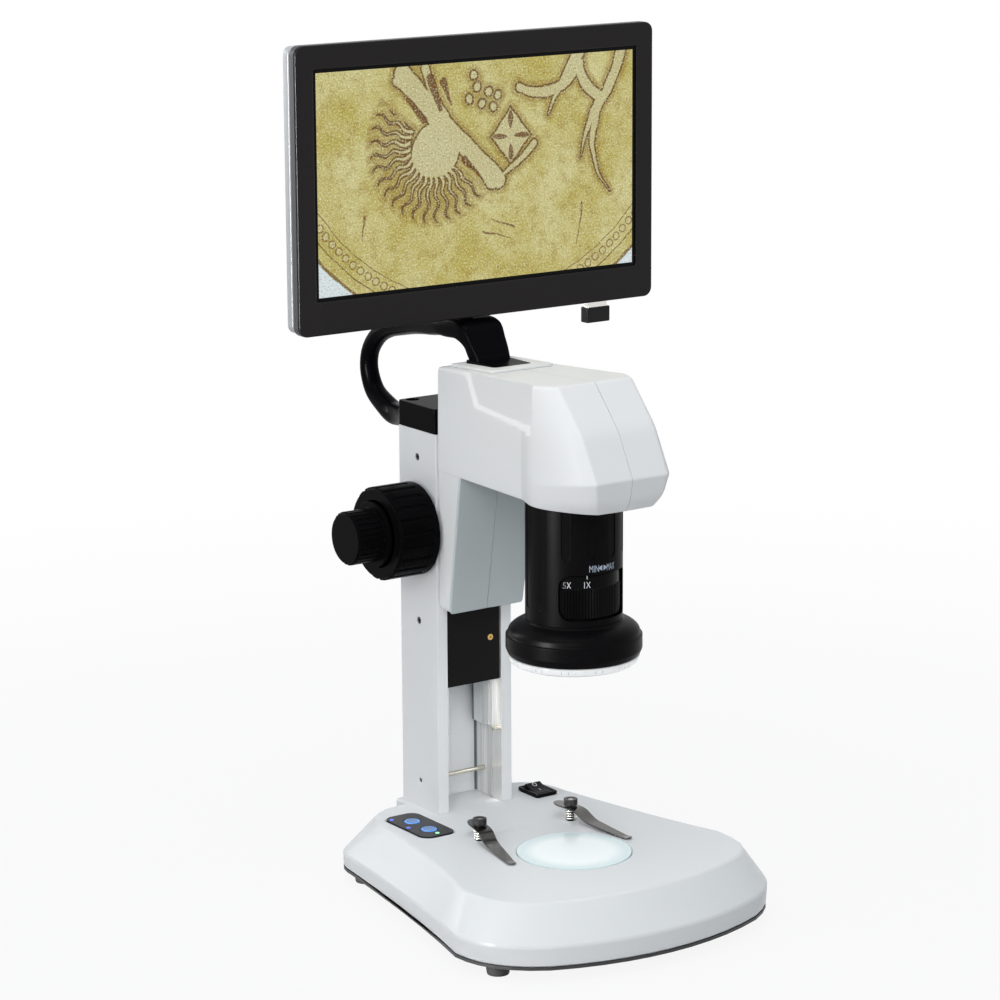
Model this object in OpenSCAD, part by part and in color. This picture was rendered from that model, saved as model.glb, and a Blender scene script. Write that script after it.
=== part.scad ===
// Bench microscope with a tilting display above its focusing head.
// Every module is drawn in the stage frame: the origin is where the optical axis
// meets the stage, X runs to the right, Y to the column and Z up.
// The last lines move the stage frame so that the feet stand on Z = 0.

/* [Base] */
// Height of the stage above the underside of the base plate
base_h = 31; // [26:1:40]
// Height of the rubber feet below the base plate
foot_h = 6; // [3:0.5:10]
// Radius of a rubber foot
foot_r = 6.5; // [5:0.5:7]
// Distance from the optical axis to the front of the base
base_front = 84.9; // [80:0.1:94]
// Distance from the optical axis to the back of the base
base_back = 133; // [132:0.1:142]
// Half of the greatest width of the base
base_half_w = 93.6; // [88:0.1:102]
// Half of the width of the base near its back corners
base_half_w_back = 68; // [66:0.5:74]
// How far the sloping shoulder brings the top in on each side
shoulder_in = 11.2; // [9:0.1:14]
// How far the front of the top lies behind the front of the base
shoulder_front = 15.4; // [12:0.2:22]
// Height of the upright band around the base at the front
band_h = 12.5; // [10:0.5:15]
// Wall of the base moulding
base_wall = 2.6; // [2:0.1:3.2]
// Thickness of the steel base plate
plate_t = 1.6; // [1.2:0.1:2.4]

/* [Stage] */
// Radius of the round stage glass
glass_r = 30; // [26:0.5:34]
// Thickness of the stage glass
glass_t = 3; // [2:0.5:4]
// Distance of each clip post to the side of the axis
post_x = 29.6; // [28:0.2:36]
// Distance of the clip posts behind the axis
post_y = 44.4; // [42:0.2:50]
// Radius of a clip post
post_r = 1.8; // [1.4:0.1:1.8]
// Height at which the clip leaves its post
clip_z = 7.6; // [6:0.1:9]
// Thickness of the clip strip
clip_t = 0.8; // [0.6:0.1:1]
// Reach of a clip in front of its post
clip_reach = 47; // [40:0.5:52]

/* [Column] */
// Width of the column
column_w = 48; // [46:1:54]
// Depth of the column
column_d = 35.3; // [34:0.1:38]
// Distance from the optical axis to the front of the column
column_front = 91.9; // [91:0.1:94]
// Height of the column above the stage
column_h = 210; // [205:1:216]
// Thickness of the side walls of the column
column_side_t = 6.5; // [6:0.1:7]
// Thickness of the back wall of the column
column_back_t = 9; // [7:0.5:10]
// Height of the cap on the column
cap_h = 13.6; // [12:0.1:17]
// Height of the tie rod between the sides of the column
tie_z = 15.2; // [12:0.2:20]
// Height of the end stop of the slide above the stage
stop_z = 41.5; // [38:0.5:46]
// Distance of the upper gib screws below the top of the column
gib_drop = 15; // [12:1:20]
// Distance between the lower and the upper gib screws
gib_pitch = 90; // [84:1:94]

/* [Focus drive] */
// Distance of the knob shaft below the top of the column
knob_drop = 53.5; // [50:0.5:58]
// Teeth of the pinion
pinion_teeth = 16; // [14:1:18]
// Module of the rack and pinion
gear_module = 0.75; // [0.7:0.05:0.8]
// Radius of the coarse knobs
coarse_r = 25.2; // [22:0.2:28]
// Length of a coarse knob
coarse_l = 24.5; // [20:0.5:28]
// Radius of the fine knobs
fine_r = 14.4; // [12:0.2:16]
// Length of a fine knob
fine_l = 18.5; // [14:0.5:24]
// Radius of the hollow pinion shaft
shaft_r = 4; // [3.6:0.1:4.4]
// Radius of the fine shaft inside it
fine_shaft_r = 2; // [1.6:0.1:2.4]
// Length of the slide
slide_l = 138.3; // [134:0.1:142]
// Thickness of the slide plate
slide_t = 7; // [6:0.5:8]

/* [Head] */
// Half of the width of the head at the column
head_half_w = 24; // [23.5:0.1:26]
// Half of the greatest width of the nose
nose_half_w = 34.4; // [33:0.2:38]
// Distance from the optical axis to the front of the nose
nose_front = 50.6; // [48:0.2:56]
// Distance of the underside of the head below the top of the column
head_drop = 19; // [17:0.5:21]
// Height of the head at the column
head_h = 56; // [55:0.5:57]
// Wall of the head shells
head_wall = 2.4; // [2:0.1:3]
// Length of the rack cover below the head
cover_h = 76.5; // [73:0.5:79]

/* [Camera tube] */
// Outer radius of the camera tube
tube_r = 25.25; // [24.5:0.05:26]
// Distance of the tube's lower end below the head
tube_drop = 64; // [61:0.5:67]
// Length of the tube
tube_l = 108; // [100:1:112]
// Greatest radius of the lens bell
bell_r = 35.5; // [33:0.5:38]
// Height of the bell below the tube
bell_h = 19.5; // [17:0.5:22]
// Height of the zoom window in the tube
window_h = 24; // [20:0.5:25]
// Half of the angle that the zoom window takes
window_half_deg = 54; // [45:1:60]
// Number of grooves around the tube
groove_count = 12; // [8:1:16]

/* [Display] */
// Width of the display housing
screen_w = 223.6; // [216:0.2:240]
// Height of the display housing
screen_h = 148.2; // [144:0.2:156]
// Corner radius of the display housing
screen_r = 5; // [3:0.5:8]
// Height of the lower edge of the display housing above the column
screen_up = 62.2; // [62:0.1:66]
// Distance from the optical axis to the face of the display
screen_y = 82.9; // [82:0.1:84]
// Depth of the dark bezel
bezel_d = 8.4; // [7.5:0.1:9]
// Width of the picture area
picture_w = 198.4; // [190:0.2:200]
// Height of the picture area
picture_h = 114.6; // [108:0.2:116]
// Border below the picture
border_below = 19.4; // [17:0.1:22]
// Depth of the pale back cover at its rim
cover_d = 5.2; // [4.6:0.1:6]
// Height of the tilt pin above the column
tilt_up = 75; // [74:0.5:78]
// Distance of the tilt pin behind the optical axis
tilt_y = 109; // [108:0.5:112]
// Radius of the tilt pin
tilt_pin_r = 2.5; // [2:0.1:3]

/* [Handle] */
// Distance from the optical axis to the back of the carrying handle
handle_back = 199.1; // [194:0.1:206]
// Half thickness of the handle at its back
handle_t = 5; // [4.4:0.1:5.6]
// Half width of the neck of the handle above the head
neck_half_w = 10.6; // [9:0.1:12]

/* [Fits] */
// Radial clearance of a running fit
fit_run = 0.05; // [0.02:0.01:0.09]
// Gap between parts that move past each other
gap_move = 0.4; // [0.3:0.05:0.6]
// Gap between a panel and the opening that it sits in
gap_panel = 0.2; // [0.1:0.05:0.3]

/* [Hidden] */
$fn = 48;
eps = 0.01;
cut = 1;

// Placing of the stage frame; the crease stands out a little in front
crease_out = 0.2;
axis_y = -(handle_back - base_front - crease_out) / 2;
stage_z = base_h + foot_h;

// Heights that follow the column
knob_z = column_h - knob_drop;
gib_z = column_h - gib_drop - gib_pitch;
slide_top = column_h - 2;
slide_z = slide_top - slide_l;
head_z = column_h - head_drop;
head_top_z = head_z + head_h;
cover_z = head_z - cover_h;
tube_z = head_z - tube_drop;
bell_z = tube_z - bell_h;
screen_z = column_h + screen_up;
tilt_z = column_h + tilt_up;

// Base
shell_z = plate_t - base_h;
top_half_w = base_half_w - shoulder_in;
top_half_w_back = base_half_w_back - 9.5;
top_front = base_front - shoulder_front;
top_back = base_back - 13.3;
crease_z = band_h - base_h;
crease_drop = 3.2;
crease_side = 0.8;
crease_side_back = 0.4;
corner_steps = 6;
front_arc_r = 162;
foot_x = base_half_w - 13.6;
foot_y = 39.3 - base_front;
foot_back_x = base_half_w_back - 10.5;
foot_back_y = base_back - 19.5;
foot_screw_r = 2;
foot_recess = 2.5;
boss_r = 5;
pad_half_w = column_w / 2 + 2.6;
pad_back = column_front + column_d + 4;

// Touch panel, buttons and rocker switch on the top of the base
panel_x = -42.4;
panel_y = 82.7;
panel_w = 20.6;
panel_l = 42;
panel_r = 6;
panel_t = 2;
panel_ledge = 1.1;
button_x = panel_x;
button_up_y = panel_y + 7.5;
button_pitch = 16.5;
button_r = 4.3;
button_h = 4.2;
button_proud = 0.6;
led_side_x = panel_x - 7.8;
led_r = 1.1;
switch_x = 43.4;
switch_y = 94.9;
switch_w = 14;
switch_l = 19;
switch_flange_t = 2;
switch_body_h = 16;
switch_wall = 1.5;
rocker_w = switch_w - 2 * switch_wall - 2 * gap_move;
rocker_l = switch_l - 2 * switch_wall - 3 * gap_move;
rocker_top = 4.5;
rocker_tilt = 12;
rocker_pivot_z = -1.4;
rocker_pin_r = 1;

// Stage parts
glass_seat_r = glass_r + gap_panel;
nut_h = 3.4;
nut_r = 3.75;
spring_wire_r = 0.35;
spring_r = 2.85;
spring_turns = 4;
clip_w = 8.6;
clip_tip_w = 4.4;
clip_tail = 12.4;
clip_bend_y = 8.7;
clip_toe_left = 12.7;
clip_toe_right = 6.4;
clip_foot_z = 0.7;
clip_step_z = 3.4;

// Column
column_back = column_front + column_d;
column_mid_y = column_front + 18;
slot_half_w = column_w / 2 - column_side_t;
inner_back = column_back - column_back_t;
stop_r = 1.25;
stop_y = column_front + 2.9;
stop_l = 4;
stop_in = 3;
gib_r = 2;
rail_t = 3.6;
rail_front = column_front + 4.4;
rail_back = inner_back - 3;
rail_z = stop_z + 0.5;
rail_groove = 1.2;
rail_groove_y = rail_front + 0.9;
rail_groove_w = 2.2;
foot_bolt_r = 2;
foot_bolt_l = 22;
foot_bolt_y = [column_front + 10, column_back - 4.5];

// Focus drive
pitch_r = gear_module * pinion_teeth / 2;
rack_y = column_mid_y - pitch_r;
tooth_play = 0.28;
addendum = gear_module;
dedendum = 1.25 * gear_module;
bush_r = 6;
bush_flange_r = 8;
bush_flange_t = 1.2;
knob_gap = 2;
coarse_x = column_w / 2 + knob_gap;
coarse_flutes = 22;
flute_r = 1.3;
fine_x = coarse_x + coarse_l + 1;
fine_ribs = 28;
fine_rib_r = 0.7;
collar_r = 17.6;
collar_t = 2.2;
knob_core_t = 5;
slide_front = column_front + 1.2;
slide_half_w = slot_half_w - gap_move;
slide_back = slide_front + slide_t;
core_half_w = slot_half_w - rail_t - gap_move;
rack_half_w = 4;
travel = slide_z - stop_z - stop_r - 0.25;

// Head
head_back = column_front - 1.7;
head_slope = 0.0555;
nose_top_front = 18.2;
nose_top_half_w = 30;
crease_head_z = head_z + 17;
cover_half_w = head_half_w - 0.3;
cover_back_y = head_back - 0.3;
cover_front_top = 67.4;
cover_front_low = 79.8;
frame_plate_t = 4;
frame_plate_y = head_back - head_wall - frame_plate_t - 0.3;
frame_half_w = 19;
arm_in = 12.6;
arm_t = 4.4;
clamp_z = head_z + 12;
clamp_h = 22;
clamp_t = 1.5;
collar_w = 39;
collar_l = 40.4;
collar_mid_y = 64.5;
collar_up = 1.6;
leg_open_w = 24;
leg_open_l = 28.4;
leg_mid_y = 67.5;
foot_plate_w = leg_open_w - 2 * gap_move;
foot_plate_l = leg_open_l - 2 * gap_move;
foot_plate_t = 1.8;
leg_w = 17;
leg_l = 18;
leg_wall = 1.5;
leg_z = head_z + 3;

// Camera tube
tube_wall = 2.6;
window_top = tube_z + 3.5 + window_h;
window_low = tube_z + 3.5;
ring_r = tube_r - 1.25;
ring_bore_r = 21;
ring_rib_h = window_h - 7.5;
ring_ribs = 72;
barrel_r = ring_bore_r - fit_run;
barrel_bore_r = 15;
groove_r = 3;
groove_depth = 0.5;
led_ring_z = bell_z - 4;
led_ring_in = 24;
led_ring_out = 31.5;

// Display
picture_z = screen_z + border_below + picture_h / 2;
screen_mid_z = screen_z + screen_h / 2;
lcd_y = screen_y + 1.3;
lcd_t = 4.2;
lcd_w = picture_w + 8;
lcd_h = picture_h + 7;
bezel_back = screen_y + bezel_d;
cover_back = bezel_back + cover_d;
bulge_w = 152;
bulge_h = 66;
bulge_z = screen_z + 12;
bulge_d = 6.5;
bulge_back = cover_back + bulge_d;
cover_wall = 2.2;
hinge_half_w = 6;
ear_t = 3;
ear_gap = 0.35;
ear_half = hinge_half_w + ear_gap;
ear_r = 6;
usb_x = screen_w / 2 - 31.8;
usb_y = screen_y + 8.4;
usb_w = 15.4;
usb_d = 6.6;
usb_l = 8.2;
usb_metal_w = 12;
usb_metal_d = 4.5;
usb_metal_l = 15;
usb_out = 3.8;

arch_z = 54.9;
arch_t = 5.9;

// Route of the handle in the plane X = 0: distance behind the axis, height,
// half width, half thickness and squareness of the section.
root_y = column_back;
handle_route = [
    [root_y, column_h + 5.6, 21, 6.2, 5],
    [root_y + 11, column_h + 2.2, 16.5, 6.4, 4],
    [root_y + 23, column_h - 1, 10.5, 6.4, 3],
    [root_y + 34, column_h - 2.9, 7.2, 6.3, 2.4],
    [handle_back - handle_t - 25, column_h - 3.3, 6.4, 6.2, 2.2],
    [handle_back - handle_t - 15.4, column_h + 0.4, 6, 5.8, 2],
    [handle_back - handle_t - 6.8, column_h + 5.2, 5.6, 5.4, 2],
    [handle_back - handle_t - 1.8, column_h + 12.3, 5.3, 5.2, 2],
    [handle_back - handle_t, column_h + 20.7, 5.1, handle_t, 2],
    [handle_back - handle_t - 2.8, column_h + 29.8, 5.1, handle_t, 2],
    [handle_back - handle_t - 11.4, column_h + 38.4, 5.3, 5.1, 2],
    [handle_back - handle_t - 22.4, column_h + 43.5, 5.8, 5.2, 2],
    [handle_back - handle_t - 35.4, column_h + 46.6, 6.6, 5.3, 2.2],
    [handle_back - handle_t - 48.4, column_h + 49.3, 8, 5.5, 2.4],
    [handle_back - handle_t - 61, column_h + 51.4, 9.6, 5.7, 2.8],
    [handle_back - handle_t - 74, column_h + 53.2, 11.4, 5.9, 3.4],
    [tilt_y + 1, column_h + arch_z, 12.8, arch_t, 4],
    [tilt_y - 9, column_h + arch_z + 0.2, 13.2, arch_t - 0.2, 5],
    [tilt_y - 18, column_h + arch_z + 0.5, 13.2, arch_t - 0.5, 6],
    [tilt_y - 23.8, column_h + arch_z - 1.1, 13, arch_t - 0.5, 6],
    [leg_mid_y + 13, column_h + 49.3, 12, 4.1, 6],
    [leg_mid_y + 10.2, column_h + 45, neck_half_w + 0.9, 4.3, 6],
    [leg_mid_y + 7.6, column_h + 40.6, neck_half_w, 4.9, 6]
];
route_steps = 3;
section_steps = 24;

// ---------- Helpers ----------

function bez(a, b, c, n) =
    [for (i = [0 : n]) let (t = i / n) a * (1 - t) * (1 - t) + b * 2 * t * (1 - t) + c * t * t];

function mirrored(half) =
    concat(half, [for (i = [len(half) - 1 : -1 : 0]) if (half[i][0] > eps) [-half[i][0], half[i][1]]]);

function unit(v) = v / norm(v);

// Moves each point of a closed outline inwards by d
function inset(pts, d) = let (n = len(pts))
    [for (i = [0 : n - 1])
        let (t = unit(pts[(i + 1) % n] - pts[(i + n - 1) % n]))
        pts[i] + d * [-t[1], t[0]]];

function raised(pts, z) = [for (p = pts) [p[0], p[1], z]];

// Joins closed rings of points, each counter-clockwise from above, into a solid
module loft(rings) {
    n = len(rings[0]);
    m = len(rings);
    pts = [for (r = rings) for (p = r) p];
    low = [for (i = [0 : n - 1]) i];
    high = [for (i = [0 : n - 1]) m * n - 1 - i];
    sides = [for (k = [0 : m - 2]) for (i = [0 : n - 1])
        let (a = k * n + i, b = a + n, c = (k + 1) * n + (i + 1) % n, d = c - n)
        each [[a, b, c], [a, c, d]]];
    polyhedron(points = pts, faces = concat([low], sides, [high]), convexity = 6);
}

// Rounded rectangle with true arcs
module rounded(w, h, r) {
    square([w - 2 * r, h], center = true);
    square([w, h - 2 * r], center = true);
    for (sx = [-1, 1])
        for (sy = [-1, 1])
            translate([sx * (w / 2 - r), sy * (h / 2 - r)])
                circle(r);
}

// Upright slab between two distances behind the axis
module slab(w, h, r, y_front, y_back, z_mid) {
    translate([0, y_back, z_mid])
        rotate([90, 0, 0])
            linear_extrude(y_back - y_front)
                rounded(w, h, r);
}

// Flat slab between two heights
module sheet(w, l, r, z_low, z_high) {
    translate([0, 0, z_low])
        linear_extrude(z_high - z_low)
            rounded(w, l, r);
}

module box(x, y, z) {
    translate([x[0], y[0], z[0]])
        cube([x[1] - x[0], y[1] - y[0], z[1] - z[0]]);
}

// Rod along X
module rod_x(x_low, x_high, r) {
    translate([x_low, 0, 0])
        rotate([0, 90, 0])
            cylinder(r = r, h = x_high - x_low);
}

module both_sides() {
    children();
    mirror([1, 0, 0])
        children();
}

// ---------- Base ----------

// Outline of the base: a bowed front, round corners and sides that draw in to the
// back; corner and tail say where the control points of the corners lie
function base_ring(front, half_w, half_w_back, back, wide_y, corner, tail) =
    let (x_arc = half_w - 28, y_arc = front_arc_r - sqrt(front_arc_r ^ 2 - x_arc ^ 2) - front,
        wide = [half_w, wide_y], back_start = [half_w_back, back - tail])
    mirrored(concat(
        [for (i = [0 : 4]) let (x = x_arc * i / 5)
            [x, front_arc_r - sqrt(front_arc_r ^ 2 - x ^ 2) - front]],
        bez([x_arc, y_arc], [half_w + corner[0], y_arc + corner[1]], wide, corner_steps),
        [for (p = bez(wide, [half_w * 0.47 + half_w_back * 0.53, back * 0.19], back_start, 5))
            if (p[1] > wide_y + 1 && p[1] < back - tail - 1) p],
        bez(back_start, [half_w_back - 1, back - 0.5], [half_w_back - tail * 0.8, back],
            corner_steps),
        [[0, back]]));

bottom_ring = base_ring(base_front, base_half_w, base_half_w_back, base_back, -27,
    [0.4, 15.8], 22);
crease_ring = base_ring(base_front + crease_out, base_half_w + crease_side,
    base_half_w_back + crease_side_back, base_back, -29, [0.4, 15.8], 22);
top_ring = base_ring(top_front, top_half_w, top_half_w_back, top_back, -17, [1.6, 7.3], 32);

function crease_height(y) =
    crease_z - crease_drop * (y + base_front) / (base_back + base_front);

module base_body(wall, floor_z) {
    lift = wall > 0 ? wall : 0;
    loft([
        raised(inset(bottom_ring, wall), floor_z),
        [for (p = inset(crease_ring, wall)) [p[0], p[1], crease_height(p[1]) - lift * 0.4]],
        raised(inset(top_ring, wall * 1.3), -lift)
    ]);
}

module foot_places() {
    both_sides() {
        translate([foot_x, foot_y, 0])
            children();
        translate([foot_back_x, foot_back_y, 0])
            children();
    }
}

module base_plate() {
    color("#1c1c1e")
        difference() {
            translate([0, 0, -base_h])
                linear_extrude(plate_t)
                    polygon(bottom_ring);
            foot_places()
                translate([0, 0, -base_h - cut])
                    cylinder(r = foot_screw_r + gap_panel, h = plate_t + 2 * cut);
            column_bolt_places()
                translate([0, 0, -base_h - cut])
                    cylinder(r = foot_bolt_r + gap_panel, h = plate_t + 2 * cut);
        }
}

module rubber_feet() {
    color("#141414")
        foot_places()
            difference() {
                translate([0, 0, -base_h - foot_h])
                    cylinder(r1 = foot_r - 0.8, r2 = foot_r, h = foot_h);
                translate([0, 0, -base_h - foot_h - cut])
                    cylinder(r = foot_screw_r + 1.8, h = foot_recess + cut);
                translate([0, 0, -base_h - foot_h])
                    cylinder(r = foot_screw_r, h = foot_h + cut);
            }
}

module foot_screws() {
    color("silver")
        foot_places() {
            translate([0, 0, -base_h - foot_h + foot_recess - 1.4])
                cylinder(r = foot_screw_r + 1.6, h = 1.4);
            translate([0, 0, -base_h - foot_h + foot_recess - eps])
                cylinder(r = foot_screw_r - 0.02, h = foot_h - foot_recess + plate_t + 7);
        }
}

module base_shell() {
    color("#eceef0")
        difference() {
            union() {
                difference() {
                    base_body(0, shell_z);
                    base_body(base_wall, shell_z - cut);
                }
                intersection() {
                    foot_places()
                        translate([0, 0, shell_z])
                            cylinder(r = boss_r, h = base_h - plate_t);
                    base_body(base_wall / 2, shell_z);
                }
                column_pad();
                glass_well();
            }
            translate([0, 0, -glass_t])
                cylinder(r = glass_seat_r, h = glass_t + cut, $fn = 96);
            translate([0, 0, -base_h])
                cylinder(r = glass_r - 2.5, h = base_h + cut, $fn = 96);
            foot_places()
                translate([0, 0, shell_z - cut])
                    cylinder(r = foot_screw_r, h = 7.4 + cut);
            column_bolt_places()
                translate([0, 0, -base_h])
                    cylinder(r = foot_bolt_r + gap_panel, h = base_h + cut);
            translate([panel_x, panel_y, 0])
                sheet(panel_w + 2 * gap_panel, panel_l + 2 * gap_panel, panel_r, -panel_t, cut);
            translate([panel_x, panel_y, 0])
                sheet(panel_w - 2 * panel_ledge, panel_l - 2 * panel_ledge, panel_r - 1,
                    -base_wall - cut, cut);
            translate([switch_x, switch_y, 0])
                sheet(switch_w - 1.6, switch_l - 1.6, 1, -base_wall - cut, cut);
            for (s = [-1, 1])
                translate([s * post_x, post_y, -base_wall - cut])
                    cylinder(r = post_r + 0.02, h = base_wall + 2 * cut);
            translate([inlet_x, base_back - 12, inlet_z])
                rotate([-90, 0, 0])
                    cylinder(r = inlet_r + gap_panel, h = 16);
        }
}

// Solid pad under the column, flush with the stage
module column_pad() {
    box([-pad_half_w, pad_half_w], [column_front - 3, pad_back], [shell_z, 0]);
}

// Ring wall that carries the stage glass and screens the lamp
module glass_well() {
    difference() {
        translate([0, 0, -11])
            cylinder(r = glass_r + 3, h = 11 - base_wall / 2, $fn = 96);
        translate([0, 0, -12])
            cylinder(r = glass_r - 2.5, h = 12, $fn = 96);
    }
}

module stage_glass() {
    color("#e8f6fa")
        translate([0, 0, -glass_t])
            cylinder(r = glass_r, h = glass_t, $fn = 96);
}

lamp_z = -11;
module lamp_board() {
    color("#f0f0f0")
        difference() {
            translate([0, 0, lamp_z - 1.6])
                cylinder(r = glass_r + 2.6, h = 1.6, $fn = 96);
            for (a = [45 : 90 : 315])
                rotate(a)
                    translate([glass_r + 0.4, 0, lamp_z - 2])
                        cylinder(r = 1, h = 3);
        }
}

module lamp_leds() {
    color("#fff6d8")
        for (ring = [[0, 1], [9, 6], [18, 12]])
            for (i = [0 : ring[1] - 1])
                rotate(360 / ring[1] * i)
                    translate([ring[0], 0, lamp_z])
                        cylinder(r = 1.5, h = 1.8, $fn = 24);
}

board_z = shell_z + 5;
module control_board() {
    color("#1f6b3a") {
        box([-32, 32], [8, 68], [board_z, board_z + 1.6]);
        for (sx = [-1, 1])
            for (y = [12, 64])
                translate([sx * 28, y, shell_z])
                    cylinder(r = 2.5, h = board_z - shell_z + eps);
    }
    color("#202022") {
        box([-22, -8], [20, 34], [board_z + 1.6 - eps, board_z + 4]);
        box([6, 24], [40, 56], [board_z + 1.6 - eps, board_z + 7]);
        for (x = [-20 : 10 : 0])
            translate([x, 52, board_z + 1.6 - eps])
                cylinder(r = 3.4, h = 8);
    }
}

module touch_panel() {
    color("#2c2e33")
        difference() {
            translate([panel_x, panel_y, 0])
                sheet(panel_w, panel_l, panel_r - gap_panel, -panel_t, 0.4);
            for (y = [button_up_y, button_up_y - button_pitch])
                translate([button_x, y, -panel_t - cut])
                    cylinder(r = button_r + gap_move, h = panel_t + 2 * cut);
            led_places()
                translate([0, 0, -panel_t - cut])
                    cylinder(r = led_r + 0.02, h = panel_t + 2 * cut, $fn = 24);
        }
}

module led_places() {
    for (y = [button_up_y + 8.2, button_up_y - button_pitch + 8.2])
        translate([led_side_x, y, 0])
            children();
    translate([button_x, panel_y - panel_l / 2 + 4, 0])
        children();
}

button_board_z = -button_h - 2.2;
module indicator_leds() {
    color("#58b8ff")
        led_places()
            translate([0, 0, button_board_z])
                cylinder(r = led_r, h = 0.5 - button_board_z, $fn = 24);
}

module button_board() {
    color("#1f6b3a")
        translate([panel_x, panel_y, 0]) {
            sheet(panel_w - 2.6, panel_l - 4, 2, button_board_z - 1.6, button_board_z);
            for (sy = [-1, 1])
                box([4, 7], [sy * 16 - 1, sy * 16 + 1], [button_board_z - eps, -panel_t]);
        }
}

module push_button(y) {
    translate([button_x, y, 0]) {
        translate([0, 0, -button_h])
            cylinder(r = button_r, h = button_h + button_proud);
        translate([0, 0, -button_h - 0.8])
            cylinder(r = 1.6, h = 0.8 + eps);
    }
}

module button_up() {
    color("#3fb4f0")
        push_button(button_up_y);
}

module button_down() {
    color("#3fb4f0")
        push_button(button_up_y - button_pitch);
}

inlet_x = 44;
inlet_z = -base_h + 13;
inlet_r = 5.5;
module power_inlet() {
    color("#101010")
        translate([inlet_x, 0, inlet_z])
            rotate([-90, 0, 0])
                difference() {
                    union() {
                        translate([0, 0, base_back - 16])
                            cylinder(r = inlet_r, h = 15);
                        translate([0, 0, base_back])
                            cylinder(r = inlet_r + 1.6, h = 1.2);
                        translate([0, 0, base_back - 2])
                            cylinder(r = inlet_r, h = 2 + eps);
                    }
                    translate([0, 0, base_back - 9])
                        cylinder(r = 2.9, h = 14);
                }
    color("silver")
        translate([inlet_x, 0, inlet_z])
            rotate([-90, 0, 0])
                translate([0, 0, base_back - 9 - eps])
                    cylinder(r = 1, h = 8.5);
}

module switch_housing() {
    color("#161616")
        translate([switch_x, switch_y, 0])
            difference() {
                union() {
                    sheet(switch_w, switch_l, 1.4, 0, switch_flange_t);
                    sheet(switch_w - 2, switch_l - 2, 1, -switch_body_h, eps);
                }
                box([-switch_w / 2 + switch_wall, switch_w / 2 - switch_wall],
                    [-switch_l / 2 + switch_wall, switch_l / 2 - switch_wall],
                    [-switch_body_h + 4, switch_flange_t + cut]);
                translate([0, 0, rocker_pivot_z])
                    rod_x(-rocker_w / 2 - 1.1, rocker_w / 2 + 1.1, rocker_pin_r + fit_run);
            }
}

// Rocker at rest with its front end pressed in; it turns about a pin along X
module switch_rocker() {
    half = rocker_l / 2;
    side = [[2.4, -3.4], [half - 0.4, -0.6], [half, 0.4], [half - 1.2, rocker_top], [0, rocker_top - 1]];
    color("#222226")
        translate([switch_x, switch_y, rocker_pivot_z])
            rotate([rocker_tilt, 0, 0]) {
                rotate([90, 0, 90])
                    translate([0, 0, -rocker_w / 2])
                        linear_extrude(rocker_w)
                            polygon(concat(side, [for (i = [3 : -1 : 0]) [-side[i][0], side[i][1]]]));
                rod_x(-rocker_w / 2 - 0.8, rocker_w / 2 + 0.8, rocker_pin_r);
            }
}

// ---------- Stage clips ----------

module clip_posts() {
    color("silver")
        for (s = [-1, 1])
            translate([s * post_x, post_y, 0]) {
                translate([0, 0, -base_wall])
                    cylinder(r = post_r, h = base_wall + clip_z + clip_t + nut_h - 0.4);
                translate([0, 0, -base_wall - 1.6])
                    cylinder(r = post_r + 1.8, h = 1.6);
            }
}

module clip_nuts() {
    color("#18181a")
        for (s = [-1, 1])
            translate([s * post_x, post_y, clip_z + clip_t])
                difference() {
                    cylinder(r = nut_r, h = nut_h);
                    translate([0, 0, -cut])
                        cylinder(r = post_r + 0.02, h = nut_h + 2 * cut);
                    for (i = [0 : 19])
                        rotate(18 * i)
                            translate([nut_r + 0.15, 0, 0.7])
                                cylinder(r = 0.35, h = nut_h, $fn = 16);
                }
}

// Each spring is drawn as a stack of rings that rest on each other
module clip_springs() {
    pitch = clip_z / spring_turns;
    color("silver")
        for (s = [-1, 1])
            translate([s * post_x, post_y, 0])
                rotate_extrude()
                    for (i = [0 : spring_turns - 1])
                        translate([spring_r, pitch * (i + 0.5)])
                            rotate(45)
                                square([pitch / sqrt(2) + eps, pitch / sqrt(2) + eps], center = true);
}

function clip_outline() =
    [[-clip_w / 2 + 2.6, clip_tail], [clip_w / 2 - 2.6, clip_tail], [clip_w / 2, clip_tail - 6],
        [clip_w / 2, -clip_bend_y], [clip_tip_w / 2, -clip_reach], [-clip_tip_w / 2, -clip_reach],
        [-clip_w / 2, -clip_bend_y], [-clip_w / 2, clip_tail - 6]];

// Side of the bent strip: distance behind the post and height, tail to tip
function clip_side() =
    [[clip_tail + 1, clip_z], [-clip_bend_y, clip_z], [-clip_bend_y - 5, clip_step_z],
        [-clip_reach - 1, clip_foot_z]];

module clip_strip(side, toe) {
    low = clip_side();
    high = [for (i = [len(low) - 1 : -1 : 0]) low[i] + [0, clip_t]];
    translate([side * post_x, post_y, 0])
        rotate(side * toe)
            difference() {
                intersection() {
                    translate([-clip_w, 0, 0])
                        rotate([90, 0, 90])
                            linear_extrude(2 * clip_w)
                                polygon(concat(low, high));
                    linear_extrude(clip_z + 3)
                        polygon(clip_outline());
                }
                translate([0, 0, -cut])
                    cylinder(r = post_r + fit_run, h = clip_z + 4);
            }
}

module clip_left() {
    color("#5d5f63")
        clip_strip(-1, clip_toe_left);
}

module clip_right() {
    color("#5d5f63")
        clip_strip(1, clip_toe_right);
}

// ---------- Column ----------

module column_bolt_places() {
    for (s = [-1, 1])
        translate([s * (column_w / 2 - column_side_t / 2), foot_bolt_y[0], 0])
            children();
    for (s = [-1, 1])
        translate([s * (slot_half_w - 4), foot_bolt_y[1], 0])
            children();
}

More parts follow.
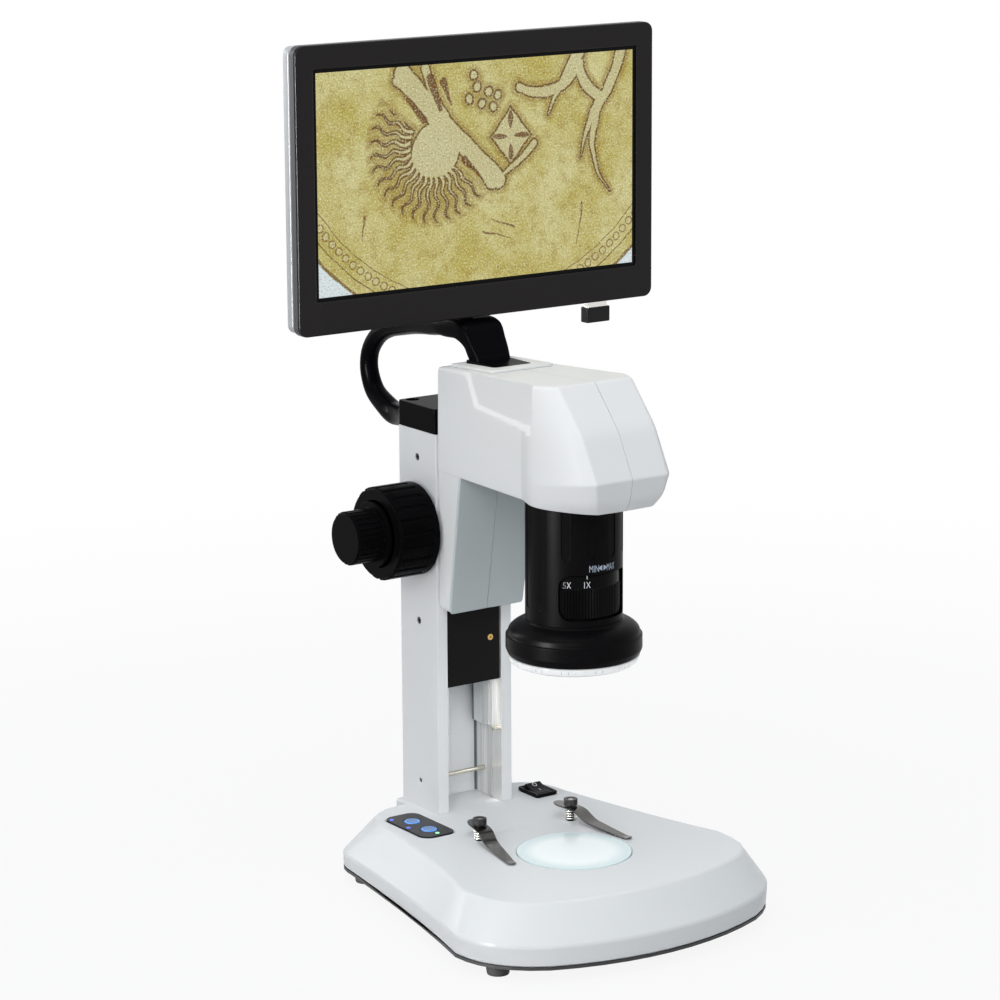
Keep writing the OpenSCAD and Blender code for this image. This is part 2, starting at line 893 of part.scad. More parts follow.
module column() {
    color("#dfe2e4")
        difference() {
            box([-column_w / 2, column_w / 2], [column_front, column_back], [0, column_h]);
            box([-slot_half_w, slot_half_w], [column_front - cut, inner_back], [-cut, column_h + cut]);
            column_bolt_places()
                translate([0, 0, -cut])
                    cylinder(r = foot_bolt_r, h = foot_bolt_l + cut - stage_bolt_in);
            translate([0, column_mid_y, tie_z])
                rod_x(-column_w, column_w, stop_r + 0.02);
            translate([0, stop_y, stop_z])
                rod_x(0, slot_half_w + stop_in, stop_r + 0.02);
            gib_places()
                rod_x(-column_w, column_w, gib_r);
            translate([0, column_mid_y, knob_z])
                rod_x(-column_w, column_w, bush_r);
            for (s = [-1, 1])
                translate([s * cap_screw_x, cap_screw_y, column_h - 12])
                    cylinder(r = cap_screw_r, h = 12 + cut);
        }
}

module gib_places() {
    for (i = [0, 1])
        translate([0, column_mid_y, gib_z + i * gib_pitch])
            children();
}

stage_bolt_in = 10;
module column_screws() {
    color("silver")
        column_bolt_places() {
            translate([0, 0, -base_h])
                cylinder(r = foot_bolt_r - 0.02, h = base_h + foot_bolt_l - stage_bolt_in - 1);
            translate([0, 0, -base_h - 2])
                cylinder(r = foot_bolt_r + 1.5, h = 2 + eps);
        }
}

module gib_screws() {
    color("#3a3a3c")
        gib_places()
            both_sides()
                difference() {
                    rod_x(slot_half_w, column_w / 2 - 0.6, gib_r - 0.02);
                    rod_x(column_w / 2 - 2.2, column_w / 2 + cut, 0.9);
                }
}

module guide_rails() {
    color("#c9cbce")
        both_sides()
            difference() {
                box([slot_half_w - rail_t, slot_half_w], [rail_front, rail_back], [rail_z, column_h]);
                box([slot_half_w - rail_t - cut, slot_half_w - rail_t + rail_groove],
                    [rail_groove_y, rail_groove_y + rail_groove_w], [rail_z - cut, column_h + cut]);
                translate([0, column_mid_y, knob_z])
                    rod_x(-column_w, column_w, bush_r + gap_move);
            }
}

// Tie rod between the sides of the column, and the end stop of the slide
module stop_rods() {
    color("#d8d8da") {
        translate([0, column_mid_y, tie_z])
            rod_x(-column_w / 2 + 0.4, column_w / 2 - 0.4, stop_r);
        translate([0, stop_y, stop_z])
            rod_x(slot_half_w - stop_l, slot_half_w + stop_in - 0.1, stop_r);
    }
}

module shaft_bushes() {
    color("#b8863b")
        translate([0, column_mid_y, knob_z])
            both_sides()
                difference() {
                    union() {
                        rod_x(slot_half_w - rail_t, column_w / 2 + eps, bush_r - 0.02);
                        rod_x(column_w / 2, column_w / 2 + bush_flange_t, bush_flange_r);
                    }
                    rod_x(slot_half_w - rail_t - cut, column_w, shaft_r + fit_run);
                }
}

cap_screw_r = 1.6;
cap_screw_x = column_w / 2 - 6;
cap_screw_y = column_back - 4.5;
cap_side = 0.4;
cap_top_z = column_h + cap_h;
module column_cap() {
    color("#1a1a1c")
        difference() {
            translate([0, (column_front + column_back) / 2, 0])
                sheet(column_w + 2 * cap_side, column_d, 1.5, column_h, cap_top_z);
            box([-slot_half_w + 2, slot_half_w - 2], [column_front + 3, inner_back],
                [column_h - cut, cap_top_z - 3]);
            for (s = [-1, 1])
                translate([s * cap_screw_x, cap_screw_y, column_h - cut]) {
                    cylinder(r = cap_screw_r + gap_panel, h = cap_h + 2 * cut);
                    translate([0, 0, cap_h - 3 + cut])
                        cylinder(r = 3.4, h = 3 + cut);
                }
        }
}

module cap_screws() {
    color("#2a2a2c")
        for (s = [-1, 1])
            translate([s * cap_screw_x, cap_screw_y, 0]) {
                translate([0, 0, column_h - 11])
                    cylinder(r = cap_screw_r - 0.02, h = cap_h + 8.2);
                translate([0, 0, cap_top_z - 3])
                    cylinder(r = 2.9, h = 1.8);
            }
}

// ---------- Carrying handle and display support ----------

function catmull(p0, p1, p2, p3, t) =
    0.5 * (2 * p1 + (p2 - p0) * t + (2 * p0 - 5 * p1 + 4 * p2 - p3) * t * t
        + (3 * p1 - p0 - 3 * p2 + p3) * t * t * t);

function smooth_route(r, steps) = let (n = len(r))
    concat([for (i = [0 : n - 2]) for (j = [0 : steps - 1])
        catmull(r[max(i - 1, 0)], r[i], r[i + 1], r[min(i + 2, n - 1)], j / steps)], [r[n - 1]]);

function power(v, n) = sign(v) * pow(abs(v), 2 / n);

// Section of the handle across its route; the two ends are cut square to the
// column cap and to the foot plate
function handle_ring(r, i) =
    let (n = len(r), a = r[max(i - 1, 0)], b = r[min(i + 1, n - 1)],
        t = i == 0 ? [1, 0] : i == n - 1 ? [0, -1] : unit([b[0] - a[0], b[1] - a[1]]),
        p = r[i])
    [for (k = [0 : section_steps - 1])
        let (ang = 360 * k / section_steps, u = p[2] * power(cos(ang), p[4]),
            v = p[3] * power(sin(ang), p[4]))
        [u, p[0] + v * t[1], p[1] - v * t[0]]];

module handle() {
    route = smooth_route(handle_route, route_steps);
    foot_z = handle_route[len(handle_route) - 1][1];
    color("#151517") {
        loft([for (i = [0 : len(route) - 1]) handle_ring(route, i)]);
        translate([0, leg_mid_y, 0])
            sheet(foot_plate_w, foot_plate_l, 1.5, foot_z - foot_plate_t, foot_z);
    }
}

conduit_top = column_h + 40.6 - foot_plate_t;
module cable_conduit() {
    color("#3a3b3e")
        difference() {
            translate([0, leg_mid_y, 0])
                sheet(leg_w, leg_l, 2, leg_z, conduit_top);
            translate([0, leg_mid_y, 0])
                sheet(leg_w - 2 * leg_wall, leg_l - 2 * leg_wall, 1, leg_z - cut, conduit_top + cut);
        }
}

bracket_z = column_h + arch_z + arch_t + 0.1;
module tilt_bracket() {
    color("#2c2d30")
        difference() {
            union() {
                box([-ear_half - ear_t, ear_half + ear_t], [tilt_y - 5, tilt_y + 7],
                    [bracket_z, bracket_z + 4]);
                for (s = [-1, 1])
                    hinge_ear(s < 0 ? -ear_half - ear_t : ear_half, bracket_z + 2);
            }
            translate([0, tilt_y, tilt_z])
                rod_x(-ear_half - 2 * ear_t, ear_half + 2 * ear_t, tilt_pin_r + 0.01);
        }
}

module hinge_ear(x, foot) {
    translate([0, tilt_y, tilt_z])
        rod_x(x, x + ear_t, ear_r);
    box([x, x + ear_t], [tilt_y - 5, tilt_y + 6], [foot, tilt_z]);
}

module tilt_pin() {
    color("silver")
        translate([0, tilt_y, tilt_z])
            rod_x(-ear_half - ear_t - 1, ear_half + ear_t + 1, tilt_pin_r);
}

// ---------- Focus drive ----------

function involute(a) = tan(a) * 180 / PI - a;

// Half angle of a pinion tooth at radius r, thinned for play
function tooth_half(r, rb) =
    (90 / pinion_teeth - tooth_play / 2 / pitch_r * 180 / PI)
        + involute(acos(rb / pitch_r)) - involute(acos(min(rb / r, 1)));

module pinion_profile() {
    rb = pitch_r * cos(20);
    tip = pitch_r + addendum;
    root = pitch_r - dedendum;
    radii = [rb, rb + (tip - rb) / 3, rb + (tip - rb) * 2 / 3, tip];
    pts = [for (i = [0 : pinion_teeth - 1])
        let (c = 180 + 360 * i / pinion_teeth)
        each concat(
            [[root, c - tooth_half(rb, rb)]],
            [for (r = radii) [r, c - tooth_half(r, rb)]],
            [for (k = [3 : -1 : 0]) [radii[k], c + tooth_half(radii[k], rb)]],
            [[root, c + tooth_half(rb, rb)]])];
    polygon([for (p = pts) p[0] * [cos(p[1]), sin(p[1])]]);
}

// Pinion in the plane Y-Z, turned so that a tooth points at the rack
module pinion_shaft() {
    knob_end = coarse_x + coarse_l - 2;
    color("#b9bcc0")
        translate([0, column_mid_y, knob_z])
            difference() {
                union() {
                    rod_x(-knob_end, knob_end, shaft_r);
                    rotate([90, 0, 90])
                        translate([0, 0, -rack_half_w - 0.5])
                            linear_extrude(2 * rack_half_w + 1)
                                pinion_profile();
                }
                rod_x(-knob_end - cut, knob_end + cut, fine_shaft_r + fit_run);
            }
}

module coarse_knob() {
    color("#161618")
        translate([0, column_mid_y, knob_z])
            difference() {
                union() {
                    rod_x(coarse_x, coarse_x + coarse_l - 1.2, coarse_r);
                    rod_x(coarse_x + coarse_l - 1.2 - eps, coarse_x + coarse_l, coarse_r - 1.2);
                }
                rod_x(coarse_x - cut, coarse_x + coarse_l + cut, shaft_r + 0.01);
                rod_x(coarse_x + coarse_l - 1.6, coarse_x + coarse_l + cut, collar_r + 0.5);
                difference() {
                    rod_x(coarse_x - cut, coarse_x + coarse_l - 1.6 - knob_core_t, coarse_r - 3.4);
                    rod_x(coarse_x - 2 * cut, coarse_x + coarse_l, shaft_r + 4);
                }
                for (i = [0 : coarse_flutes - 1])
                    rotate([360 / coarse_flutes * i, 0, 0])
                        translate([0, 0, coarse_r + 0.5])
                            rod_x(coarse_x + 4, coarse_x + coarse_l + cut, flute_r);
            }
}

module coarse_knob_right() {
    coarse_knob();
}

module coarse_knob_left() {
    mirror([1, 0, 0])
        coarse_knob();
}

module fine_shaft() {
    color("#d0d2d5")
        translate([0, column_mid_y, knob_z])
            rod_x(-fine_x - fine_l + 3, fine_x + fine_l - 3, fine_shaft_r);
}

module fine_knob() {
    color("#161618")
        translate([0, column_mid_y, knob_z])
            difference() {
                union() {
                    rod_x(fine_x, fine_x + collar_t, collar_r);
                    rod_x(fine_x + collar_t - eps, fine_x + fine_l - 1, fine_r);
                    rod_x(fine_x + fine_l - 1 - eps, fine_x + fine_l, fine_r - 1);
                }
                rod_x(fine_x - cut, fine_x + fine_l - 3, fine_shaft_r + 0.01);
                for (i = [0 : fine_ribs - 1])
                    rotate([360 / fine_ribs * i, 0, 0])
                        translate([0, 0, fine_r + 0.25])
                            rod_x(fine_x + collar_t + 0.8, fine_x + fine_l + cut, fine_rib_r);
            }
}

module fine_knob_right() {
    fine_knob();
}

module fine_knob_left() {
    mirror([1, 0, 0])
        fine_knob();
}

slide_screw_x = 11;
slide_screw_z = slide_z + 24.3;
module slider() {
    color("#17171a")
        difference() {
            union() {
                box([-slide_half_w, slide_half_w], [slide_front, rail_front - gap_move],
                    [slide_z, slide_top]);
                box([-core_half_w, core_half_w], [slide_front, slide_back], [slide_z, slide_top]);
                box([-core_half_w - rail_groove + gap_move, core_half_w + rail_groove - gap_move],
                    [rail_groove_y + gap_move, rail_groove_y + rail_groove_w - gap_move],
                    [slide_z, slide_top]);
            }
            translate([slide_screw_x, slide_front - cut, slide_screw_z])
                rotate([-90, 0, 0])
                    cylinder(r = 1.7, h = 6);
            frame_screw_places()
                translate([0, 0, -cut])
                    cylinder(r = frame_screw_r, h = 7);
        }
}

module slider_screw() {
    color("#c9a24a") {
        frame_screw_places() {
            translate([0, 0, frame_plate_y - slide_front - 2])
                cylinder(r = frame_screw_r + 1.4, h = 2);
            translate([0, 0, frame_plate_y - slide_front - eps])
                cylinder(r = frame_screw_r - 0.02, h = slide_front - frame_plate_y + 5.5);
        }
        translate([slide_screw_x, slide_front, slide_screw_z])
            rotate([-90, 0, 0])
                difference() {
                    translate([0, 0, -0.4])
                        cylinder(r = 1.68, h = 5);
                    translate([0, 0, -0.6])
                        cylinder(r = 0.8, h = 1.4, $fn = 6);
                }
    }
}

rack_low = knob_z - 8;
rack_high = knob_z + travel + 7;
module rack() {
    pitch = PI * gear_module;
    half = pitch / 4 - tooth_play / 2;
    slope = tan(20);
    count_low = ceil((rack_low - knob_z) / pitch) + 1;
    count_high = floor((rack_high - knob_z) / pitch) - 1;
    color("#8f9296")
        rotate([90, 0, 90])
            translate([0, 0, -rack_half_w])
                linear_extrude(2 * rack_half_w)
                    polygon(concat(
                        [[slide_back, rack_high], [slide_back, rack_low],
                            [rack_y - dedendum, rack_low]],
                        [for (i = [count_low : count_high])
                            let (z = knob_z + (i + 0.5) * pitch)
                            each [[rack_y - dedendum, z - half - slope * dedendum],
                                [rack_y + addendum * 0.9, z - half + slope * addendum],
                                [rack_y + addendum * 0.9, z + half - slope * addendum],
                                [rack_y - dedendum, z + half + slope * dedendum]]],
                        [[rack_y - dedendum, rack_high]]));
}

// ---------- Head ----------

frame_screw_r = 2;
module frame_screw_places() {
    for (x = [-9, 9])
        for (z = [cover_z + 22, head_z + 8])
            translate([x, slide_front, z])
                rotate([-90, 0, 0])
                    children();
}

function head_top(y) = head_top_z + (head_back - y) * head_slope;

// Half outlines of the head from the middle of its front to the column
function head_half(level) =
    let (w = nose_half_w, f = nose_front, bw = head_half_w + 4.6)
    level == 0 ? [[0, 5.6 - f], [w - 16.9, 6.6 - f], [w - 11.4, 12.6 - f], [w - 5.4, 24 - f],
            [w - 1.7, 34.4 - f], [w - 1.4, 43 - f], [bw, 6], [head_half_w, head_back]]
    : level == 1 ? [[0, -f], [w - 12.2, -f], [w - 6.8, 5.6 - f], [w - 2.6, 16.6 - f],
            [w, 30.6 - f], [w - 0.2, 43 - f], [bw, 6], [head_half_w, head_back]]
    : [[0, -nose_top_front], [23.2, -nose_top_front], [25.8, 4.8 - nose_top_front],
            [28, 9.6 - nose_top_front], [nose_top_half_w - 0.4, 14.4 - nose_top_front],
            [nose_top_half_w, 18 - nose_top_front], [bw - 0.4, 6], [head_half_w - 0.6, head_back]];

function head_crease(y) = crease_head_z - 0.12 * (y + nose_front);

// Draws the back edge of a head outline out to back_y
function stretched(pts, wall, back_y) =
    [for (p = pts) [p[0], p[1] > head_back - 2 * wall - 1 ? back_y : p[1]]];

module head_body(wall, back_y, low_z) {
    half = [for (k = [0 : 2]) head_half(k)];
    halves = [half[0], half[0] * 0.38 + half[1] * 0.62, half[1],
        half[1] * 0.62 + half[2] * 0.38, half[2]];
    rings = [for (h = halves) stretched(inset(mirrored(h), wall), wall, back_y)];
    flat_z = head_top(-nose_top_front) + 1;
    difference() {
        loft([
            raised(rings[0], low_z),
            [for (p = rings[1]) [p[0], p[1], low_z + 0.35 * (head_crease(p[1]) - low_z)]],
            [for (p = rings[2]) [p[0], p[1], head_crease(p[1])]],
            [for (p = rings[3]) [p[0], p[1], (head_crease(p[1]) + flat_z) / 2]],
            raised(rings[4], flat_z)
        ]);
        translate([0, head_back, head_top_z - wall])
            rotate([-atan(head_slope), 0, 0])
                box([-60, 60], [-180, 20], [0, 30]);
    }
}

module cover_body(wall, back_y, high_z) {
    w = cover_half_w - wall;
    levels = [[cover_z + wall, w - 4], [cover_z + wall + 1.3, w - 1.4], [cover_z + wall + 5, w],
        [high_z, w]];
    loft([for (l = levels)
        let (f = cover_front_low + (cover_front_top - cover_front_low)
                * (l[0] - cover_z) / (head_z - cover_z) + wall)
        [[-l[1] + 1.5, f, l[0]], [l[1] - 1.5, f, l[0]], [l[1], f + 2, l[0]],
            [l[1], back_y, l[0]], [-l[1], back_y, l[0]], [-l[1], f + 2, l[0]]]]);
}

// Stepped panel on the flank of the head
module flank_recess() {
    inner = [[66, 15], [52.4, -13.5], [29, -16], [4, -16.6], [8.5, 15]];
    outer = [[70, 15], [52.6, -16.2], [29, -19.2], [-1.2, -20], [4.5, 15]];
    depth = 1.7;
    hull() {
        for (p = inner)
            translate([flank_x(p[0]) - depth, p[0], head_top_z + p[1]])
                cube(eps);
        for (p = outer)
            translate([flank_x(p[0]) + 1, p[0], head_top_z + p[1]])
                cube(eps);
    }
}

function flank_x(y) =
    head_half_w + 4.6 * (head_back - max(y, 6)) / (head_back - 6) + 0.45 * max(6 - y, 0);

module head_shells() {
    difference() {
        union() {
            head_body(0, head_back, head_z);
            cover_body(0, cover_back_y, head_z + 2);
        }
        head_body(head_wall, head_back - head_wall, head_z + head_wall);
        cover_body(head_wall, cover_back_y - head_wall, head_z + head_wall + 1);
        translate([0, 0, head_z - cut])
            cylinder(r = tube_r + gap_panel, h = head_wall + 3 * cut, $fn = 96);
        translate([0, collar_mid_y, head_top_z - 10])
            sheet(collar_w - 4, collar_l - 4, 2, 0, 20);
        box([-16, 16], [head_back - 2 * head_wall, head_back + cut], [cover_z - cut, head_z + 18]);
        both_sides()
            flank_recess();
    }
}

module head_left_shell() {
    color("#ececec")
        intersection() {
            head_shells();
            box([-100, -gap_panel / 2], [-100, 100], [0, 300]);
        }
}

module head_right_shell() {
    color("#ececec")
        intersection() {
            head_shells();
            box([gap_panel / 2, 100], [-100, 100], [0, 300]);
        }
}

module head_collar() {
    color("#f0f0f0")
        difference() {
            translate([0, collar_mid_y, head_top(collar_mid_y)])
                rotate([-atan(head_slope), 0, 0]) {
                    sheet(collar_w, collar_l, 2.5, 0.05, collar_up);
                    sheet(collar_w - 4.6, collar_l - 4.6, 1.7, -head_wall, 0.1);
                }
            translate([0, leg_mid_y, 0])
                sheet(leg_open_w, leg_open_l, 2, head_top_z - 20, head_top_z + 20);
        }
}

// Casting that carries the shells and clamps the camera tube
module head_frame() {
    color("#9a9da1")
        difference() {
            union() {
                box([-frame_half_w, frame_half_w], [frame_plate_y, frame_plate_y + frame_plate_t],
                    [cover_z + 12, head_top_z - 8]);
                box([-15, 15], [frame_plate_y + frame_plate_t - eps, slide_front],
                    [cover_z + 14, head_z + 14]);
                both_sides()
                    box([arm_in, arm_in + arm_t], [8, frame_plate_y + eps],
                        [clamp_z, clamp_z + clamp_h]);
                translate([0, 0, clamp_z])
                    cylinder(r = tube_r + clamp_t, h = clamp_h, $fn = 96);
            }
            translate([0, 0, clamp_z - cut])
                cylinder(r = tube_r + 0.02, h = clamp_h + 2 * cut, $fn = 96);
            frame_screw_places()
                translate([0, 0, -20])
                    cylinder(r = frame_screw_r + gap_panel, h = 30);
        }
}

// ---------- Camera tube and optics ----------

module groove(angle, low) {
    rotate(angle)
        translate([0, -(tube_r + groove_r - groove_depth), low])
            cylinder(r = groove_r, h = tube_l);
}

// Wedge that opens the tube in front of the zoom ring
module window_wedge() {
    far = 60;
    linear_extrude(window_h)
        polygon([[0, 0], [-far * sin(window_half_deg), -far * cos(window_half_deg)],
            [0, -2 * far], [far * sin(window_half_deg), -far * cos(window_half_deg)]]);
}

module camera_tube() {
    color("#1b1b1d")
        difference() {
            translate([0, 0, tube_z])
                cylinder(r = tube_r, h = tube_l, $fn = 96);
            translate([0, 0, tube_z - cut])
                cylinder(r = tube_r - tube_wall, h = tube_l + 2 * cut, $fn = 96);
            translate([0, 0, tube_z - cut])
                cylinder(r = ring_r + 0.3, h = window_top - tube_z + 0.4 + cut, $fn = 96);
            translate([0, 0, window_low])
                window_wedge();
            for (i = [0 : groove_count - 1])
                let (a = 360 / groove_count * (i + 0.5), front = a < 75 || a > 285)
                    groove(a, front ? window_top + 8 : tube_z + 7);
        }
}

// Profile of the bell: radius and height, outside then inside
module lens_bell() {
    shoulder = bezels(tube_r, tube_z, bell_r, tube_z - 9);
    color("#161618")
        difference() {
            rotate_extrude($fn = 96)
                polygon(concat(
                    [[tube_r - tube_wall, bell_z + 1], [tube_r - tube_wall, tube_z]],
                    shoulder,
                    [[bell_r, bell_z + 4], [bell_r - 1.2, bell_z + 1.2], [bell_r - 3.6, bell_z],
                        [led_ring_out + 0.1, bell_z], [led_ring_out + 0.1, bell_z + 1]]));
            translate([0, 0, bell_z + 0.9])
                cylinder(r = bell_r - 3, h = 6, $fn = 96);
            translate([0, 0, bell_z - cut])
                cylinder(r = led_ring_in - 3, h = 3, $fn = 96);
        }
}

function bezels(r1, z1, r2, z2) =
    concat([[r1, z1]], bez([r1 + 1, z1 - 0.4], [r1 + 5, z1 - 2], [r2 - 3.4, z2 + 4.6], 3),
        bez([r2 - 2, z2 + 3], [r2 - 0.2, z2 + 1.6], [r2, z2 - 1], 3));

module zoom_ring() {
    rib_r = 0.32;
    color("#101012")
        difference() {
            translate([0, 0, window_low + 0.3])
                cylinder(r = ring_r, h = window_h - 0.6, $fn = 96);
            translate([0, 0, window_low - cut])
                cylinder(r = ring_bore_r, h = window_h + 2 * cut, $fn = 96);
            for (i = [0 : ring_ribs - 1])
                rotate(360 / ring_ribs * i)
                    translate([ring_r + 0.1, 0, window_low + 0.8])
                        cylinder(r = rib_r + 0.18, h = ring_rib_h, $fn = 16);
        }
}

module lens_barrel() {
    color("#303134")
        difference() {
            union() {
                translate([0, 0, bell_z + 3])
                    cylinder(r = led_ring_in - 3.4, h = window_low - bell_z - 3 + eps, $fn = 96);
                translate([0, 0, window_low - 0.4])
                    cylinder(r = barrel_r, h = window_h + 0.8, $fn = 96);
                translate([0, 0, window_top + 0.3])
                    cylinder(r = tube_r - tube_wall, h = 40, $fn = 96);
            }
            translate([0, 0, bell_z])
                cylinder(r = barrel_bore_r, h = tube_l, $fn = 96);
        }
}

module lenses() {
    color("#a8d0e8")
        for (z = [bell_z + 5, window_low + 10, window_top + 22])
            translate([0, 0, z])
                cylinder(r = barrel_bore_r, h = 4, $fn = 96);
}

sensor_z = window_top + 40.3;
module sensor_board() {
    color("#1f6b3a")
        difference() {
            translate([0, 0, sensor_z])
                cylinder(r = tube_r - tube_wall - 0.3, h = 1.6, $fn = 96);
            box([-3, 3], [-30, -20], [sensor_z - 1, sensor_z + 3]);
        }
    color("#26262a") {
        box([-7, 7], [-7, 7], [sensor_z - 2.5, sensor_z + eps]);
        box([-9, 9], [10, 15], [sensor_z + 1.6 - eps, sensor_z + 5]);
    }
}

module led_ring_board() {
    color("#f0f0f0")
        difference() {
            translate([0, 0, bell_z + 5.3])
                cylinder(r = bell_r - 3.2, h = 1.4, $fn = 96);
            translate([0, 0, bell_z + 4])
                cylinder(r = led_ring_in - 3.2, h = 6, $fn = 96);
        }
    color("#fff8e0")
        for (i = [0 : 15])
            rotate(22.5 * i)
                translate([27.5, 0, bell_z + 3.8])
                    cylinder(r = 1.6, h = 1.5 + eps, $fn = 24);
}

module led_ring() {
    color([0.9, 0.96, 1, 0.6])
        rotate_extrude($fn = 96)
            polygon([[led_ring_in, led_ring_z + 1], [led_ring_in + 1.4, led_ring_z],
                [led_ring_out - 2, led_ring_z], [led_ring_out, led_ring_z + 1.6],
                [led_ring_out, bell_z + 3.6], [led_ring_in, bell_z + 3.6]]);
}

// ---------- Display ----------

module screen_bezel() {
    color("#2a2628")
        difference() {
            slab(screen_w, screen_h, screen_r, screen_y, bezel_back, screen_mid_z);
            slab(picture_w, picture_h, 0.8, screen_y - cut, bezel_back, picture_z);
            slab(lcd_w + 0.4, lcd_h + 0.4, 1, lcd_y, bezel_back + cut, picture_z);
            translate([usb_x, 0, 0])
                box([-usb_metal_w / 2 - gap_move, usb_metal_w / 2 + gap_move],
                    [usb_y - usb_metal_d / 2 - gap_move, bezel_back + cut],
                    [screen_z - cut, screen_z + usb_metal_l]);
        }
}

module lcd_panel() {
    color("#c9b458")
        slab(lcd_w, lcd_h, 1, lcd_y, lcd_y + lcd_t, picture_z);
}

module screen_back() {
    rim_w = screen_w - 1.6;
    rim_h = screen_h - 1.6;
    color("#c6c9cc")
        difference() {
            union() {
                slab(rim_w, rim_h, screen_r - 0.8, bezel_back, cover_back, screen_mid_z);
                slab(bulge_w, bulge_h, 8, cover_back - eps, bulge_back, bulge_z + bulge_h / 2);
            }
            slab(rim_w - 2 * cover_wall, rim_h - 2 * cover_wall, screen_r - 2.5,
                bezel_back - cut, cover_back - cover_wall, screen_mid_z);
            slab(bulge_w - 2 * cover_wall, bulge_h - 2 * cover_wall, 6,
                bezel_back - cut, bulge_back - cover_wall, bulge_z + bulge_h / 2);
            translate([usb_x, 0, 0])
                box([-usb_metal_w / 2 - gap_move, usb_metal_w / 2 + gap_move],
                    [bezel_back - cut, usb_y + usb_metal_d / 2 + gap_move],
                    [screen_z - cut, screen_z + usb_metal_l]);
        }
}

module screen_board() {
    board_y = bezel_back + 0.5;
    color("#1f6b3a") {
        box([31.8 - screen_w / 2, screen_w / 2 - 19.8], [board_y, board_y + 1.6],
            [screen_z + 18, screen_z + screen_h - 52.2]);
        box([usb_x - 10, usb_x + 10], [board_y - 0.4, board_y + 1],
            [screen_z + 17, screen_z + 18 + eps]);
    }
    color("#202024") {
        box([-30, -8], [board_y + 1.6 - eps, board_y + 3], [screen_z + 52, screen_z + 74]);
        box([20, 34], [board_y + 1.6 - eps, board_y + 2.8], [screen_z + 40, screen_z + 54]);
    }
}

module screen_hinge() {
    color("#2c2d30")
        difference() {
            union() {
                box([-26, 26], [bulge_back, bulge_back + 2], [tilt_z + 5, tilt_z + 40]);
                box([-hinge_half_w, hinge_half_w], [bulge_back, tilt_y + 3], [tilt_z, tilt_z + 20]);
                translate([0, tilt_y, tilt_z])
                    rod_x(-hinge_half_w, hinge_half_w, ear_r - 0.6);
            }
            translate([0, tilt_y, tilt_z])
                rod_x(-30, 30, tilt_pin_r + fit_run);
        }
}

module usb_stick() {
    color("silver")
        translate([usb_x, usb_y, 0])
            box([-usb_metal_w / 2, usb_metal_w / 2], [-usb_metal_d / 2, usb_metal_d / 2],
                [screen_z - usb_out - eps, screen_z + usb_metal_l - usb_out]);
    color("#17171a")
        translate([usb_x, usb_y, 0])
            sheet(usb_w, usb_d, 1.2, screen_z - usb_out - usb_l, screen_z - usb_out);
}

// ---------- Assembly ----------

module placed() {
    translate([0, axis_y, stage_z])
        children();
}

placed() base_plate();
placed() rubber_feet();
placed() foot_screws();
placed() base_shell();
placed() stage_glass();
placed() lamp_board();
placed() lamp_leds();
placed() control_board();
placed() touch_panel();
placed() indicator_leds();
placed() button_board();
placed() power_inlet();
placed() switch_housing();
placed() column();
placed() column_screws();
placed() gib_screws();
placed() guide_rails();
placed() stop_rods();
placed() shaft_bushes();
placed() column_cap();
placed() cap_screws();
placed() handle();
placed() cable_conduit();
placed() tilt_bracket();
placed() tilt_pin();
placed() clip_posts();
placed() clip_nuts();
placed() clip_springs();
placed() clip_left();
placed() clip_right();
placed() button_up();
placed() button_down();
placed() switch_rocker();
placed() pinion_shaft();
placed() coarse_knob_left();
placed() coarse_knob_right();
placed() fine_shaft();
placed() fine_knob_left();
placed() fine_knob_right();
placed() slider();
placed() rack();
placed() slider_screw();
placed() head_frame();
placed() head_left_shell();
placed() head_right_shell();
placed() head_collar();
placed() camera_tube();
placed() lens_bell();
placed() lens_barrel();
placed() lenses();
placed() sensor_board();
placed() led_ring_board();
placed() led_ring();
placed() zoom_ring();
placed() screen_bezel();
placed() lcd_panel();
placed() screen_back();
placed() screen_board();
placed() screen_hinge();
placed() usb_stick();
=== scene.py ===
"""Dresses a bench microscope with a tilting display: pieces, finishes, stage and camera."""

import math

import bpy
from bpy.props import FloatProperty, FloatVectorProperty, IntProperty, PointerProperty
from mathutils import Matrix, Vector

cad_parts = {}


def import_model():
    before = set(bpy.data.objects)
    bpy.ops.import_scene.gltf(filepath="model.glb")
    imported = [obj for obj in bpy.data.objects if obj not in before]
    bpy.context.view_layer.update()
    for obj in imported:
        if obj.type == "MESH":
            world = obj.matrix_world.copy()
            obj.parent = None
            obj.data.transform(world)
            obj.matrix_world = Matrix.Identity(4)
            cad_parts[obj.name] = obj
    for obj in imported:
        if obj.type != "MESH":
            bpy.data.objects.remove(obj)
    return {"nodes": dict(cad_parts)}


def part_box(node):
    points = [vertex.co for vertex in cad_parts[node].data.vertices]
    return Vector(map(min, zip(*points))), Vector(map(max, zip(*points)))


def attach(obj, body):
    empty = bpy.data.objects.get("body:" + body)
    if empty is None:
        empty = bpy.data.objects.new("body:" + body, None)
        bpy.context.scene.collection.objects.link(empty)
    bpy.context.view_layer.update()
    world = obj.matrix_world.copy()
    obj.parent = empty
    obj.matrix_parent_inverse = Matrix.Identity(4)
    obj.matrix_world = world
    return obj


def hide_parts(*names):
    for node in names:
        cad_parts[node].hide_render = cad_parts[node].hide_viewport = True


bl_info = {
    "name": "Display microscope",
    "version": (1, 0, 0),
    "blender": (4, 5, 0),
    "location": "3D View > Sidebar > Microscope",
    "description": "Builds the visible pieces and finishes of a bench microscope with a display",
    "category": "Object",
}

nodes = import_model()["nodes"]
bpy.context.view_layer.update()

glass_low, glass_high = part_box("stage_glass")
AXIS = Vector((0, (glass_low.y + glass_high.y) / 2, glass_high.z))

